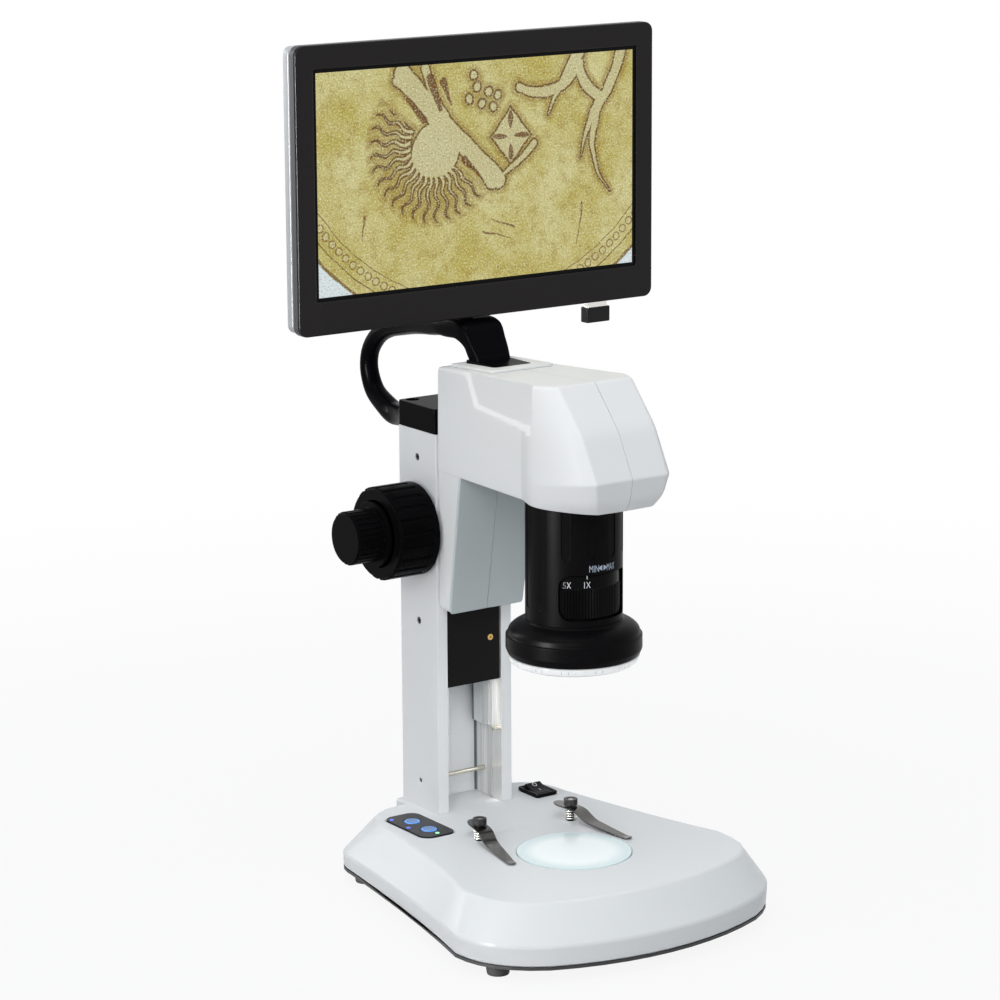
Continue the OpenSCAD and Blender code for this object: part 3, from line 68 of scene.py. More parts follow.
# Heights of the head above the stage in millimetres, and the rise of its roof to the front
HEAD_LOW = 191.0
HEAD_TOP = 247.0
HEAD_SLOPE = 0.0555

# Radius of the camera tube and height of its lower end, in millimetres
TUBE_R = 25.25
TUBE_LOW = 127.0

# Radii of the stage glass and of the lit buttons in metres
GLASS_R = 0.030
BUTTON_R = 0.0043

# Width and height of the display's picture in millimetres
PICTURE = (198.4, 114.6)

# Distance of a clip's post from the outer side of its nut in millimetres
NUT_REACH = 3.75

# Half the gap between the column's side walls, and the Y of its back wall, in millimetres
COLUMN_INNER = 17.5
COLUMN_BACK = 118.2

# Camera: place in millimetres, pitch, yaw and roll in degrees, and focal length
CAMERA_PLACE = (-1048.08, -1458.94, 598.18)
CAMERA_TURN = (12.842, 34.486, -0.321)
CAMERA_LENS = 129.4

# Lamps: name, place, target, size in metres, power in watts, and whether it lights matt faces
LAMPS = (
    ("key", (-1.15, -1.25, 1.1), (0, 0, 0.2), (0.9, 0.9), 11, True),
    ("top", (-0.2, -0.1, 2.0), (0, 0, 0.1), (1.2, 1.2), 13, True),
    ("side", (-1.5, 0.1, 0.7), (0, 0, 0.2), (0.4, 1.0), 3.2, True),
    ("edge_left", (-0.95, -0.16, 0.34), (0, 0, 0.2), (0.08, 0.5), 36, False),
    ("edge_back", (-0.6, 1.3, 0.6), (0, 0, 0.3), (0.1, 0.8), 8, False),
)


def at(x, y, z):
    """A point given in millimetres from where the optical axis meets the stage."""
    return Vector((x / 1000, y / 1000, z / 1000)) + AXIS


# ---------- Finishes ----------


class Link:
    """A shader value that Python's arithmetic works on."""

    def __init__(self, finish, socket):
        self.finish = finish
        self.socket = socket

    def math(self, operation, *values):
        inputs = dict(enumerate(values))
        return self.finish.node("ShaderNodeMath", {"operation": operation}, inputs)

    def __add__(self, other):
        return self.math("ADD", self, other)

    def __radd__(self, other):
        return self.math("ADD", other, self)

    def __sub__(self, other):
        return self.math("SUBTRACT", self, other)

    def __rsub__(self, other):
        return self.math("SUBTRACT", other, self)

    def __mul__(self, other):
        return self.math("MULTIPLY", self, other)

    def __rmul__(self, other):
        return self.math("MULTIPLY", other, self)

    def __truediv__(self, other):
        return self.math("DIVIDE", self, other)

    def __gt__(self, other):
        return self.math("GREATER_THAN", self, other)

    def __lt__(self, other):
        return self.math("LESS_THAN", self, other)

    def call(self, operation, *others):
        return self.math(operation, self, *others)

    def ramp(self, low, high):
        """0 at low and 1 at high, with soft ends."""
        inputs = {"Value": self, "From Min": low, "From Max": high}
        settings = {"interpolation_type": "SMOOTHSTEP", "clamp": True}
        return self.finish.node("ShaderNodeMapRange", settings, inputs)


class Finish:
    """A material with one principled shader and the patterns that feed it."""

    def __init__(self, name, color, rough, metal=0.0, **fixed):
        self.material = bpy.data.materials.new(name)
        self.material.use_nodes = True
        self.tree = self.material.node_tree
        self.shader = self.tree.nodes["Principled BSDF"]
        self.feed("Base Color", (*color, 1))
        self.feed("Roughness", rough)
        self.feed("Metallic", metal)
        for key, value in fixed.items():
            self.feed(key.replace("_", " "), value)
        self.place = self.node("ShaderNodeTexCoord", out="Object")
        self.material.diffuse_color = (*color, 1)

    def feed(self, key, value):
        socket = self.shader.inputs[key]
        if isinstance(value, Link):
            self.tree.links.new(value.socket, socket)
        else:
            socket.default_value = value

    def node(self, kind, settings=None, inputs=None, out=0):
        made = self.tree.nodes.new(kind)
        for key, value in (settings or {}).items():
            setattr(made, key, value)
        for key, value in (inputs or {}).items():
            if isinstance(value, Link):
                self.tree.links.new(value.socket, made.inputs[key])
            else:
                made.inputs[key].default_value = value
        return Link(self, made.outputs[out])

    def centred(self, centre, turn=(0, 0, 0), scale=(1, 1, 1)):
        """Object coordinates measured from a centre."""
        inputs = {"Vector": self.place, "Location": tuple(-Vector(centre))}
        moved = self.node("ShaderNodeMapping", {"vector_type": "POINT"}, inputs)
        inputs = {"Vector": moved, "Rotation": turn, "Scale": scale}
        return self.node("ShaderNodeMapping", {"vector_type": "POINT"}, inputs)

    def parts(self, vector):
        return [self.node("ShaderNodeSeparateXYZ", None, {0: vector}, out) for out in "XYZ"]

    def millimetres(self, centre=AXIS):
        """X, Y and Z in millimetres from a centre, or from the optical axis on the stage."""
        return self.parts(self.centred(centre, scale=(1000, 1000, 1000)))

    def noise(self, scale, detail=2.0, vector=None, rough=0.5):
        inputs = {"Vector": vector or self.place, "Scale": scale}
        inputs.update({"Detail": detail, "Roughness": rough})
        return self.node("ShaderNodeTexNoise", None, inputs)

    def drawn_streaks(self):
        """The fine upright streaks of drawn metal."""
        inputs = {"Vector": self.place, "Scale": (1, 1, 0.015)}
        return self.noise(700, 3, self.node("ShaderNodeMapping", None, inputs), 0.7)

    def mix(self, factor, low, high):
        made = self.tree.nodes.new("ShaderNodeMix")
        made.data_type = "RGBA"
        made.blend_type = "MIX"
        for index, value in ((0, factor), (6, low), (7, high)):
            if isinstance(value, Link):
                self.tree.links.new(value.socket, made.inputs[index])
            elif index:
                made.inputs[index].default_value = (*value[:3], 1)
            else:
                made.inputs[index].default_value = value
        return Link(self, made.outputs[2])

    def bump(self, height, distance, strength=1.0):
        inputs = {"Height": height, "Distance": distance, "Strength": strength}
        self.feed("Normal", self.node("ShaderNodeBump", None, inputs, "Normal"))


def hypotenuse(x, y):
    return (x * x + y * y).call("SQRT")


def scaled(color, amount):
    return tuple(min(1.0, part * amount) for part in color)


def moulded(name, color, rough, grain=900.0, depth=0.00002, drift=0.02, **fixed):
    """Moulded plastic or paint: a fine grain, and a slow drift of colour and gloss."""
    made = Finish(name, color, rough, **fixed)
    broad = made.noise(14, 3)
    fine = made.noise(grain, 2)
    made.feed("Base Color", made.mix(broad, scaled(color, 1 - drift), scaled(color, 1 + drift)))
    made.feed("Roughness", rough - 0.04 + 0.05 * broad + 0.03 * fine)
    made.bump(fine, depth)
    return made


def brushed(name, color, rough, along, grain=500.0, depth=0.000012, drift=0.06, **fixed):
    """Metal with a fine grain that runs along one axis."""
    made = Finish(name, color, rough, 1.0, **fixed)
    stretch = [1.0, 1.0, 1.0]
    stretch[along] = 0.02
    inputs = {"Vector": made.place, "Scale": stretch}
    streaks = made.noise(grain, 3, made.node("ShaderNodeMapping", None, inputs), 0.7)
    broad = made.noise(30, 2)
    tone = 0.7 * streaks + 0.3 * broad
    made.feed("Base Color", made.mix(tone, scaled(color, 1 - drift), scaled(color, 1 + drift)))
    made.feed("Roughness", rough - 0.08 + 0.16 * streaks)
    made.bump(streaks, depth)
    return made


def speckled(name, color, rough):
    """Fine textured metal paint: tiny bright flakes in black."""
    made = Finish(name, color, rough, Specular_IOR_Level=0.03)
    flakes = made.noise(2600, 2, None, 0.6)
    broad = made.noise(40, 2)
    made.feed("Base Color", made.mix(flakes.ramp(0.5, 0.75), color, scaled(color, 3.0)))
    made.feed("Roughness", rough - 0.05 + 0.1 * broad)
    made.bump(flakes, 0.00003, 0.6)
    return made


def column_coat(name, color):
    """Paint outside, bare drawn metal on the side walls' inner faces, with painted light and
    painted shade.
    """
    made = Finish(name, color, 0.34)
    inner, back = COLUMN_INNER, COLUMN_BACK
    x, y, _ = made.millimetres()
    side = x.call("ABSOLUTE")
    bare = (side < inner + 0.04) * (y < back) * (side > inner - 0.5)
    # Mask of the faces that get painted light: the front faces and the back wall's inner face.
    front = (y < 92.1).call("MAXIMUM", (y > back - 0.1) * (side < inner + 0.1))
    streaks = made.drawn_streaks()
    lines = (y * 5.2).call("SINE").ramp(0.2, 0.9)
    lines = lines * y.ramp(101.8, 102.4) * (1 - y.ramp(105.6, 106.2))
    mirror = 1 - y.ramp(101.4, 102.6)
    metal = made.mix(streaks.ramp(0.3, 0.7), (0.66, 0.67, 0.66), (0.92, 0.92, 0.91))
    metal = made.mix(lines * 0.7, metal, (0.30, 0.30, 0.29))
    metal = made.mix(mirror * 0.6, metal, (0.86, 0.86, 0.84))
    # Painted shade: the bare side walls darken towards the back wall, in the corner between them.
    metal = made.mix(y.ramp(back - 2.6, back - 1.6), metal, (0.16, 0.19, 0.20))
    # Painted light: these faces are painted 1.25 times lighter than the same paint elsewhere.
    tone = made.mix(front, color, scaled(color, 1.25))
    made.feed("Base Color", made.mix(bare, tone, metal))
    made.feed("Metallic", bare * (0.15 + 0.45 * mirror))
    made.feed("Roughness", 0.34 * (1 - bare) + bare * (0.42 - 0.22 * mirror + 0.1 * streaks))
    made.bump(made.noise(700, 2), 0.000012)
    return made


def rail_coat(name):
    """Drawn metal: bright and streaky in front, matt behind, with a dark painted shade line at its
    back edge.
    """
    made = Finish(name, (0.7, 0.71, 0.71), 0.3)
    _, y, _ = made.millimetres()
    streaks = made.drawn_streaks()
    matt = y.ramp(105.5, 106.5)
    metal = made.mix(streaks.ramp(0.3, 0.7), (0.68, 0.68, 0.67), (0.95, 0.95, 0.94))
    tone = made.mix(matt, metal, (0.78, 0.81, 0.82))
    # Painted shade: a dark line along the rail's back edge, in the gap by the back wall.
    made.feed("Base Color", made.mix(y.ramp(113.4, 113.9), tone, (0.10, 0.12, 0.13)))
    made.feed("Metallic", 0.5 * (1 - matt))
    made.feed("Roughness", 0.2 + 0.1 * streaks + 0.2 * matt)
    return made


def rod_coat(name):
    """Polished steel, with painted shade, dark and not metal, on the rod's ends in their holes."""
    made = turned(name, (0.66, 0.63, 0.55), 0.22)
    x, _, _ = made.millimetres()
    # Painted shade on the rod's ends inside the column's side walls.
    painted_hole_shade = x.call("ABSOLUTE") > 23.4
    made.feed("Base Color", made.mix(painted_hole_shade, (0.66, 0.63, 0.55), (0.01, 0.01, 0.01)))
    made.feed("Metallic", 1 - painted_hole_shade)
    return made


def post_coat(name):
    """Bright steel above the clip, and black below it inside the spring."""
    made = turned(name, (0.8, 0.8, 0.78), 0.16)
    _, _, z = made.millimetres()
    made.feed("Base Color", made.mix(z > 8.0, (0.03, 0.026, 0.022), (0.86, 0.86, 0.84)))
    return made


def turned(name, color, rough, **fixed):
    """Metal or moulding turned or polished all over."""
    made = Finish(name, color, rough, 1.0, **fixed)
    fine = made.noise(1500, 2)
    broad = made.noise(60, 2)
    made.feed("Base Color", made.mix(broad, scaled(color, 0.94), scaled(color, 1.05)))
    made.feed("Roughness", rough - 0.05 + 0.1 * broad)
    made.bump(fine, 0.000006)
    return made


def stage_glow(centre, radius):
    """Frosted glass lit from below: white in the middle, pale cyan at its rim."""
    made = Finish("lit_stage_glass", (0.8, 0.9, 0.92), 0.16)
    x, y, _ = made.parts(made.centred(centre))
    reach = hypotenuse(x, y) / radius
    rim = reach.ramp(0.62, 0.95)
    glow = made.mix(rim, (1.0, 1.0, 0.97), (0.28, 0.40, 0.42))
    made.feed("Base Color", made.mix(rim, (0.80, 0.86, 0.86), (0.70, 0.80, 0.81)))
    made.feed("Emission Color", glow)
    made.feed("Emission Strength", 0.16)
    made.bump(made.noise(1200), 0.000008)
    return made


def lit_button(centre, radius, color):
    """Translucent button: a bright rim, and a darker middle with fine lines."""
    made = Finish("lit_button", color, 0.25)
    x, y, _ = made.parts(made.centred(centre))
    reach = hypotenuse(x, y) / radius
    rim = reach.ramp(0.72, 0.86)
    lines = (x * 5200).call("SINE").ramp(0.1, 0.9) * (1 - rim)
    tone = made.mix(rim, scaled(color, 0.55), scaled(color, 1.5))
    made.feed("Base Color", made.mix(lines * 0.3, tone, (0.5, 0.75, 0.95)))
    made.feed("Emission Color", made.mix(rim, scaled(color, 0.5), scaled(color, 1.4)))
    made.feed("Emission Strength", 0.22)
    return made


def indicator(split):
    """Small lamps: blue ones along the side, and a green one at the front."""
    made = Finish("indicator_lamp", (0.2, 0.3, 0.9), 0.2)
    _, y, _ = made.parts(made.place)
    green = y < split
    tone = made.mix(green, (0.06, 0.12, 0.8), (0.25, 0.95, 0.35))
    made.feed("Base Color", tone)
    made.feed("Emission Color", tone)
    made.feed("Emission Strength", 1.0)
    return made


def ring_light():
    """Clear ring over a circle of lamps: bright, with grey ticks and a thin grey line below."""
    made = Finish("ring_light", (0.9, 0.95, 0.98), 0.1)
    x, y, z = made.millimetres()
    angle = y.call("ARCTAN2", x)
    ticks = (angle * 60).call("SINE").ramp(0.9, 0.99) * (angle * 13).call("SINE").ramp(-0.2, 0.3)
    ticks = ticks * z.ramp(104.6, 104.9) * (1 - z.ramp(106.2, 106.5))
    line = z.ramp(103.3, 103.45) * (1 - z.ramp(103.8, 104.0))
    cloud = made.noise(90, 2).ramp(0.45, 0.65)
    tone = made.mix(cloud * 0.35, (1.0, 1.0, 1.0), (0.74, 0.82, 0.88))
    tone = made.mix(ticks * 0.6, tone, (0.30, 0.34, 0.38))
    tone = made.mix(line * 0.8, tone, (0.36, 0.44, 0.52))
    reach = hypotenuse(x, y)
    under = (z < 103.6) * (reach < 31)
    body = made.mix(0.45, tone, (0.0, 0.0, 0.0))
    glow = made.mix(0.9, tone, (0.0, 0.0, 0.0))
    made.feed("Base Color", made.mix(under, body, (0.8, 0.85, 0.88)))
    made.feed("Emission Color", made.mix(under, glow, (1.0, 1.0, 1.0)))
    made.feed("Emission Strength", 4.0)
    return made


def limb(x, z, start, end, thick, bow=0.0):
    """Distance from a tapered and bent stroke between two points; below 0 inside it."""
    dx, dz = end[0] - start[0], end[1] - start[1]
    size = math.hypot(dx, dz)
    run = (x - start[0]) * (dx / size) + (z - start[1]) * (dz / size)
    side = (x - start[0]) * (dz / size) - (z - start[1]) * (dx / size)
    part = (run / size).call("MAXIMUM", 0.0).call("MINIMUM", 1.0)
    past = run - part * size
    side = side - part * (1 - part) * (4 * bow)
    return hypotenuse(side, past) - (thick[0] + part * (thick[1] - thick[0]))


def leaf(x, z, centre, angle, size, wide):
    """Distance from a pointed leaf; below 0 inside it."""
    turn = math.radians(angle)
    along = (x - centre[0]) * math.cos(turn) + (z - centre[1]) * math.sin(turn)
    across = (z - centre[1]) * math.cos(turn) - (x - centre[0]) * math.sin(turn)
    return across.call("ABSOLUTE") - wide * (1 - along * along / size ** 2)


def sprays(x, z, centre, count, inner, outer):
    """Distance from wavy shoots that fan out from a centre over its lower left."""
    dx, dz = x - centre[0], z - centre[1]
    reach = hypotenuse(dx, dz)
    angle = dz.call("ARCTAN2", dx) + (reach * 0.55).call("SINE") * 0.035
    step = math.tau / count
    turn = (angle / step).call("FRACT") - 0.5
    side = turn.call("ABSOLUTE") * reach * step
    part = (reach - inner) / (outer - inner)
    shoot = side - 1.5 + part * 1.3
    ends = (inner - reach).call("MAXIMUM", reach - outer)
    low = dx * 0.62 + dz * 0.78 + 2
    return shoot.call("MAXIMUM", ends).call("MAXIMUM", low)


def macro_picture(centre, half_w, half_h):
    """Lit display: a worn golden relief of ribbons, twigs and leaves with a beaded rim."""
    made = Finish("display_picture", (0.4, 0.37, 0.15), 0.3, Specular_IOR_Level=0.06)
    x, _, z = made.millimetres(centre)
    flat = made.node("ShaderNodeCombineXYZ", None, {0: x, 1: z, 2: 0.0})
    broad = made.noise(0.03, 3, flat, 0.6)
    middle = made.noise(0.16, 3, flat, 0.6)
    grain = made.noise(1.0, 3, flat, 0.8)
    edge = (x.call("ABSOLUTE") - half_w).call("MAXIMUM", z.call("ABSOLUTE") - half_h)
    sway_x = (made.noise(0.09, 2, flat) - 0.5) * 2.6
    sway_z = (made.noise(0.11, 2, flat) - 0.5) * 2.6
    u, v = x + sway_x, z + sway_z

    pale = limb(u, v, (-47, 54), (12, -5), (5.2, 5.2), 1.5)
    for start, end, thick, bow in (
        ((-50, 50), (-25, 20), (3.4, 2.6), -3), ((-16, 17), (8, -6), (3.6, 4.4), -3),
        ((-33, 56), (-20, 30), (2.8, 2.2), 2), ((13, -4), (35, 12), (1.4, 2.4), 1),
        ((26, 42), (64, 52), (3.0, 3.4), 8), ((64, 58), (44, 27), (3.8, 0.8), 1),
        ((64, 51), (78, 34), (3.4, 3.2), 3), ((79, 34), (65, 2), (3.2, 0.5), 2),
        ((92, 60), (77, 30), (3.6, 3.0), -2), ((78, 30), (84, -17), (3.0, 0.5), 8),
    ):
        pale = pale.call("MINIMUM", limb(u, v, start, end, thick, bow))
    dx, dz = (u + 27) * 0.92 - (v - 13) * 0.28, (v - 13) * 0.95 + (u + 27) * 0.2
    hill = hypotenuse(dx, dz) - 14.5
    pale = pale.call("MINIMUM", hill).call("MINIMUM", sprays(u, v, (-27, 16), 34, 15.5, 40))
    for cx, cz in ((-6, 38), (-1, 44), (2, 35), (6, 41), (-3, 50), (9, 33), (12, 39)):
        pale = pale.call("MINIMUM", hypotenuse(u - cx, v - cz) - 2.5)
    kite = (u - 20).call("ABSOLUTE") * 0.74 + (v - 17).call("ABSOLUTE") * 0.64 - 9.6
    pale = pale.call("MINIMUM", kite)
    dark = leaf(u, v, (20, 26), 90, 5.5, 1.5)
    for place, angle in (((20, 8), 90), ((12.5, 17), 0), ((27.5, 17), 0)):
        dark = dark.call("MINIMUM", leaf(u, v, place, angle, 5.5, 1.5))
    dark = dark.call("MAXIMUM", kite + 1.0)
    for start, end, thick in (
        ((-46, 42), (-34, 29), (0.3, 2.0)), ((-9, 7), (0, -2), (1.9, 0.4)),
        ((-30, 50), (-24, 34), (2.6, 1.4)), ((-22, 48), (-17, 36), (2.2, 0.5)),
        ((8, -26), (22, -31), (0.2, 0.6)), ((2, -32), (20, -37), (0.5, 0.1)),
        ((66, -22), (63, -44), (0.5, 0.1)), ((-71, -18), (-73, -30), (0.6, 0.2)),
    ):
        dark = dark.call("MINIMUM", limb(u, v, start, end, thick))

    tone = made.mix(broad.ramp(0.3, 0.7), (0.47, 0.40, 0.09), (0.62, 0.58, 0.27))
    tone = made.mix(middle.ramp(0.45, 0.72) * 0.5, tone, (0.34, 0.23, 0.03))
    raised = 1 - pale.ramp(-1.2, 0.2)
    tone = made.mix(raised * 0.75, tone, (0.56, 0.53, 0.31))
    shade = 1 - (pale - 1.4).call("ABSOLUTE").ramp(0.2, 2.4)
    tone = made.mix(shade * 0.5, tone, (0.26, 0.15, 0.015))
    outline = 1 - pale.call("ABSOLUTE").ramp(0.25, 0.85)
    tone = made.mix(outline * 0.9, tone, (0.10, 0.032, 0.006))
    tone = made.mix((1 - dark.ramp(-0.3, 0.4)) * 0.9, tone, (0.13, 0.045, 0.008))

    dx, dz = x - 5.0, z - 59.5
    reach = hypotenuse(dx, dz) + (made.noise(0.12, 2, flat) - 0.5) * 1.6
    rim, beads = 131.5, 146
    turn = (dz.call("ARCTAN2", dx) * (beads / math.tau)).call("FRACT") - 0.5
    bead_x = turn * (rim * math.tau / beads)
    bead = hypotenuse(bead_x, reach - rim)
    bead_ring = 1 - (bead - 2.0).call("ABSOLUTE").ramp(0.2, 0.6)
    tone = made.mix((1 - bead.ramp(1.4, 2.0)) * 0.6, tone, (0.58, 0.54, 0.28))
    tone = made.mix(bead_ring * 0.75, tone, (0.16, 0.07, 0.01))
    for radius, width in ((127.0, 0.4), (136.6, 0.5), (143.0, 1.3)):
        line = 1 - (reach - radius).call("ABSOLUTE").ramp(width * 0.4, width)
        tone = made.mix(line * 0.8, tone, (0.12, 0.045, 0.008))
    ground = made.mix(grain, (0.64, 0.74, 0.79), (0.72, 0.82, 0.86))
    tone = made.mix(reach.ramp(143.4, 144.4), tone, ground)
    tone = made.mix(grain.ramp(0.52, 0.66) * 0.7, tone, (0.88, 0.86, 0.60))
    tone = made.mix((1 - grain.ramp(0.34, 0.47)) * 0.65, tone, (0.24, 0.14, 0.015))
    made.feed("Base Color", (0.004, 0.004, 0.004, 1))
    made.feed("Emission Color", made.mix(edge.ramp(-0.05, 0.05), tone, (0.0, 0.0, 0.0)))
    made.feed("Emission Strength", 0.95)
    return made


# ---------- Modelling ----------


def pick(*objects):
    """Selects these objects and nothing else."""
    bpy.ops.object.select_all(action="DESELECT")
    for item in objects:
        item.select_set(True)
    bpy.context.view_layer.objects.active = objects[-1]


def edit(item):
    pick(item)
    bpy.ops.object.mode_set(mode="EDIT")
    bpy.ops.mesh.select_all(action="SELECT")


def leave():
    bpy.ops.object.mode_set(mode="OBJECT")


def add(kind, name, **options):
    """Adds a primitive, alone in the selection."""
    bpy.ops.object.select_all(action="DESELECT")
    getattr(bpy.ops.mesh, "primitive_" + kind + "_add")(**options)
    made = bpy.context.active_object
    made.name = name
    made.data.name = name
    return made


def chain(name, points, closed=False):
    """A line of edges through these points, extruded one after the other."""
    made = add("plane", name, size=0.001, location=points[0])
    bpy.ops.object.mode_set(mode="EDIT")
    bpy.ops.mesh.merge(type="CENTER")
    for start, end in zip(points, points[1:]):
        step = tuple(Vector(end) - Vector(start))
        bpy.ops.mesh.extrude_region_move(TRANSFORM_OT_translate={"value": step})
    bpy.ops.mesh.select_all(action="SELECT")
    if closed:
        bpy.ops.mesh.edge_face_add()
    leave()
    return made


def tidy(item):
    """Merges doubled points and turns the faces outwards."""
    edit(item)
    bpy.ops.mesh.remove_doubles(threshold=0.000001)
    bpy.ops.mesh.normals_make_consistent(inside=False)
    leave()


def lathe(name, profile, centre, steps=128):
    """Spins a closed profile of radius and height, in millimetres, about an upright axis."""
    points = [centre + Vector((r / 1000, 0, z / 1000)) for r, z in profile]
    made = chain(name, points, closed=True)
    edit(made)
    bpy.ops.mesh.delete(type="ONLY_FACE")
    bpy.ops.mesh.select_all(action="SELECT")
    bpy.ops.mesh.spin(steps=steps, angle=math.tau, center=centre, axis=(0, 0, 1))
    leave()
    tidy(made)
    return made


def plate(name, points, thickness):
    """Extrudes a closed outline along a vector."""
    made = chain(name, points, closed=True)
    edit(made)
    bpy.ops.mesh.extrude_region_move(TRANSFORM_OT_translate={"value": tuple(thickness)})
    leave()
    tidy(made)
    return made


def span(node):
    """A node's lowest and highest corner in millimetres from the stage's middle."""
    return [(corner - AXIS) * 1000 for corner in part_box(node)]


def bend(before, corner, after, reach, steps):
    """Points of the curve that rounds a corner."""
    back = before - corner
    ahead = after - corner
    start = corner + back.normalized() * min(reach, back.length * 0.45)
    end = corner + ahead.normalized() * min(reach, ahead.length * 0.45)
    along = [step / steps for step in range(steps + 1)]
    return [start * (1 - t) ** 2 + corner * (2 * t * (1 - t)) + end * t ** 2 for t in along]


def soft_line(corners, reaches, runs, steps=6):
    """A line with rounded inner corners and an even number of points along each run."""
    stops = [[corners[0]]]
    for index, reach in enumerate(reaches, 1):
        stops.append(bend(corners[index - 1], corners[index], corners[index + 1], reach, steps))
    stops.append([corners[-1]])
    points = []
    for here, there, count in zip(stops, stops[1:], runs):
        points += here[:-1]
        points += [here[-1].lerp(there[0], step / count) for step in range(count)]
    return points + stops[-1]


def net(name, rows):
    """A surface of quads through rows of points, in millimetres from the stage's middle."""
    made = add("grid", name, x_subdivisions=len(rows[0]) - 1, y_subdivisions=len(rows) - 1, size=1)
    points = [point for row in rows for point in row]
    for vertex, point in zip(made.data.vertices, points):
        vertex.co = at(*point)
    return made


def close(item):
    """Merges the seams of a surface, fills its open loops and turns its faces outwards."""
    edit(item)
    bpy.ops.mesh.remove_doubles(threshold=0.000002)
    bpy.ops.mesh.select_all(action="DESELECT")
    bpy.ops.mesh.select_non_manifold()
    bpy.ops.mesh.fill_holes(sides=0)
    bpy.ops.mesh.select_all(action="SELECT")
    bpy.ops.mesh.normals_make_consistent(inside=False)
    leave()
    return item


def block(name, low, high):
    """A box between two corners in millimetres from the stage's middle."""
    low, high = at(*low), at(*high)
    made = add("cube", name, size=1, location=(low + high) / 2)
    made.scale = high - low
    return made


def twin(item, name):
    """The mirror image of a piece on the other side of the microscope."""
    made = item.copy()
    made.data = item.data.copy()
    made.name = name
    made.data.name = name
    bpy.context.collection.objects.link(made)
    edit(made)
    bpy.ops.transform.resize(value=(-1, 1, 1), center_override=(0, 0, 0))
    bpy.ops.mesh.normals_make_consistent(inside=False)
    leave()
    return made


def around(radius, angle, z):
    """A point on a cylinder about the optical axis, at an angle from its front."""
    return Vector((radius * math.sin(angle), -radius * math.cos(angle), z))


def frame_line(width, height, radius, y, z, steps=6):
    """A rounded rectangle that faces the front, about a height z."""
    x, up, r = width / 2, height / 2, max(radius, 0.2)
    points = []
    for turn, cx, cz in ((0, 1, 1), (90, -1, 1), (180, -1, -1), (270, 1, -1)):
        for step in range(steps + 1):
            angle = math.radians(turn + 90 * step / steps)
            points.append(Vector((
                cx * (x - r) + r * math.cos(angle), y, z + cz * (up - r) + r * math.sin(angle)
            )))
    return points + points[:1]


def lettering(name, text, size, angle, radius, z, finish, body):
    """Flat characters of a given width and height, bent round the tube."""
    made, half, tall = flat_text(name, text)
    for point in made.data.vertices:
        turn = math.radians(angle) + point.co.x / half * size[0] / 2 / radius
        point.co = at(*around(radius + 0.03, turn, z + point.co.y / tall * size[1]))
    return settle(made, body, "white_board", finish)


def modify(item, kind, **settings):
    """Adds a modifier and applies it."""
    pick(item)
    made = item.modifiers.new(kind.lower(), kind)
    for key, value in settings.items():
        setattr(made, key, value)
    bpy.ops.object.modifier_apply(modifier=made.name)


def carve(item, cutter, operation="DIFFERENCE"):
    """Cuts one piece with another, which goes."""
    modify(item, "BOOLEAN", operation=operation, object=cutter, solver="EXACT")
    bpy.data.objects.remove(cutter)


def join(first, *others):
    pick(*others, first)
    bpy.ops.object.join()
    return first


def copy_of(node, name):
    """A merged copy of a solid, with its flat faces whole again."""
    made = nodes[node].copy()
    made.data = nodes[node].data.copy()
    for key in list(made.keys()):
        del made[key]
    made.parent = None
    made.name = name
    made.data.name = name
    bpy.context.collection.objects.link(made)
    edit(made)
    bpy.ops.mesh.customdata_custom_splitnormals_clear()
    bpy.ops.mesh.remove_doubles(threshold=0.000002)
    bpy.ops.mesh.dissolve_limited(angle_limit=math.radians(0.6))
    leave()
    return made


def round_edges(item, width, segments=2, angle=30):
    modify(
        item,
        "BEVEL",
        width=width / 1000,
        segments=segments,
        limit_method="ANGLE",
        angle_limit=math.radians(angle),
        use_clamp_overlap=False,
        miter_outer="MITER_ARC",
    )


def smooth(item, angle=35, weighted=True):
    pick(item)
    bpy.ops.object.shade_smooth_by_angle(angle=math.radians(angle))
    if weighted:
        modify(item, "WEIGHTED_NORMAL", keep_sharp=True, weight=60)


def settle(item, body, slot, finish, *replaced):
    """Puts the place into the mesh, gives the finish, and ties the piece to its body."""
    pick(item)
    bpy.ops.object.transform_apply(location=True, rotation=True, scale=True)
    item.data.materials.clear()
    item.data.materials.append(finish.material)
    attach(item, body)
    if replaced:
        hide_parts(*replaced)
    return item


def soften(node, name, body, slot, finish, width, segments=2, angle=30, sharp=35):
    """A solid's copy with rounded edges, in the place of the solid."""
    made = copy_of(node, name)
    round_edges(made, width, segments, angle)
    smooth(made, sharp)
    return settle(made, body, slot, finish, node)


def coat(finish, *names):
    """Gives a solid that stays its finish."""
    for name in names:
        nodes[name].data.materials.clear()
        nodes[name].data.materials.append(finish.material)


# ---------- Sizes and colours ----------


def color_property(name, description, default):
    return FloatVectorProperty(
        name=name, description=description, subtype="COLOR", size=3, min=0, max=1, default=default
    )


def length_property(name, description, default):
    return FloatProperty(name=name, description=description, min=0, default=default)


class ScopeColors(bpy.types.PropertyGroup):
    cover: color_property("Base cover", "Colour of the base cover", (0.76, 0.77, 0.78))
    head: color_property("Head", "Colour of the head shells", (0.80, 0.80, 0.80))
    column: color_property("Column", "Colour of the column's paint", (0.72, 0.725, 0.73))
    bezel: color_property("Bezel", "Colour of the display's bezel", (0.012, 0.010, 0.011))
    back: color_property("Back cover", "Colour of the display's back cover", (0.42, 0.43, 0.44))
    tube: color_property("Tube", "Colour of the camera tube", (0.0035, 0.003, 0.0035))
    knob: color_property("Knobs", "Colour of the knobs", (0.003, 0.003, 0.0034))
    handle: color_property("Handle", "Colour of the handle and neck", (0.003, 0.003, 0.004))
    button: color_property("Buttons", "Colour of the lit buttons", (0.05, 0.22, 0.62))


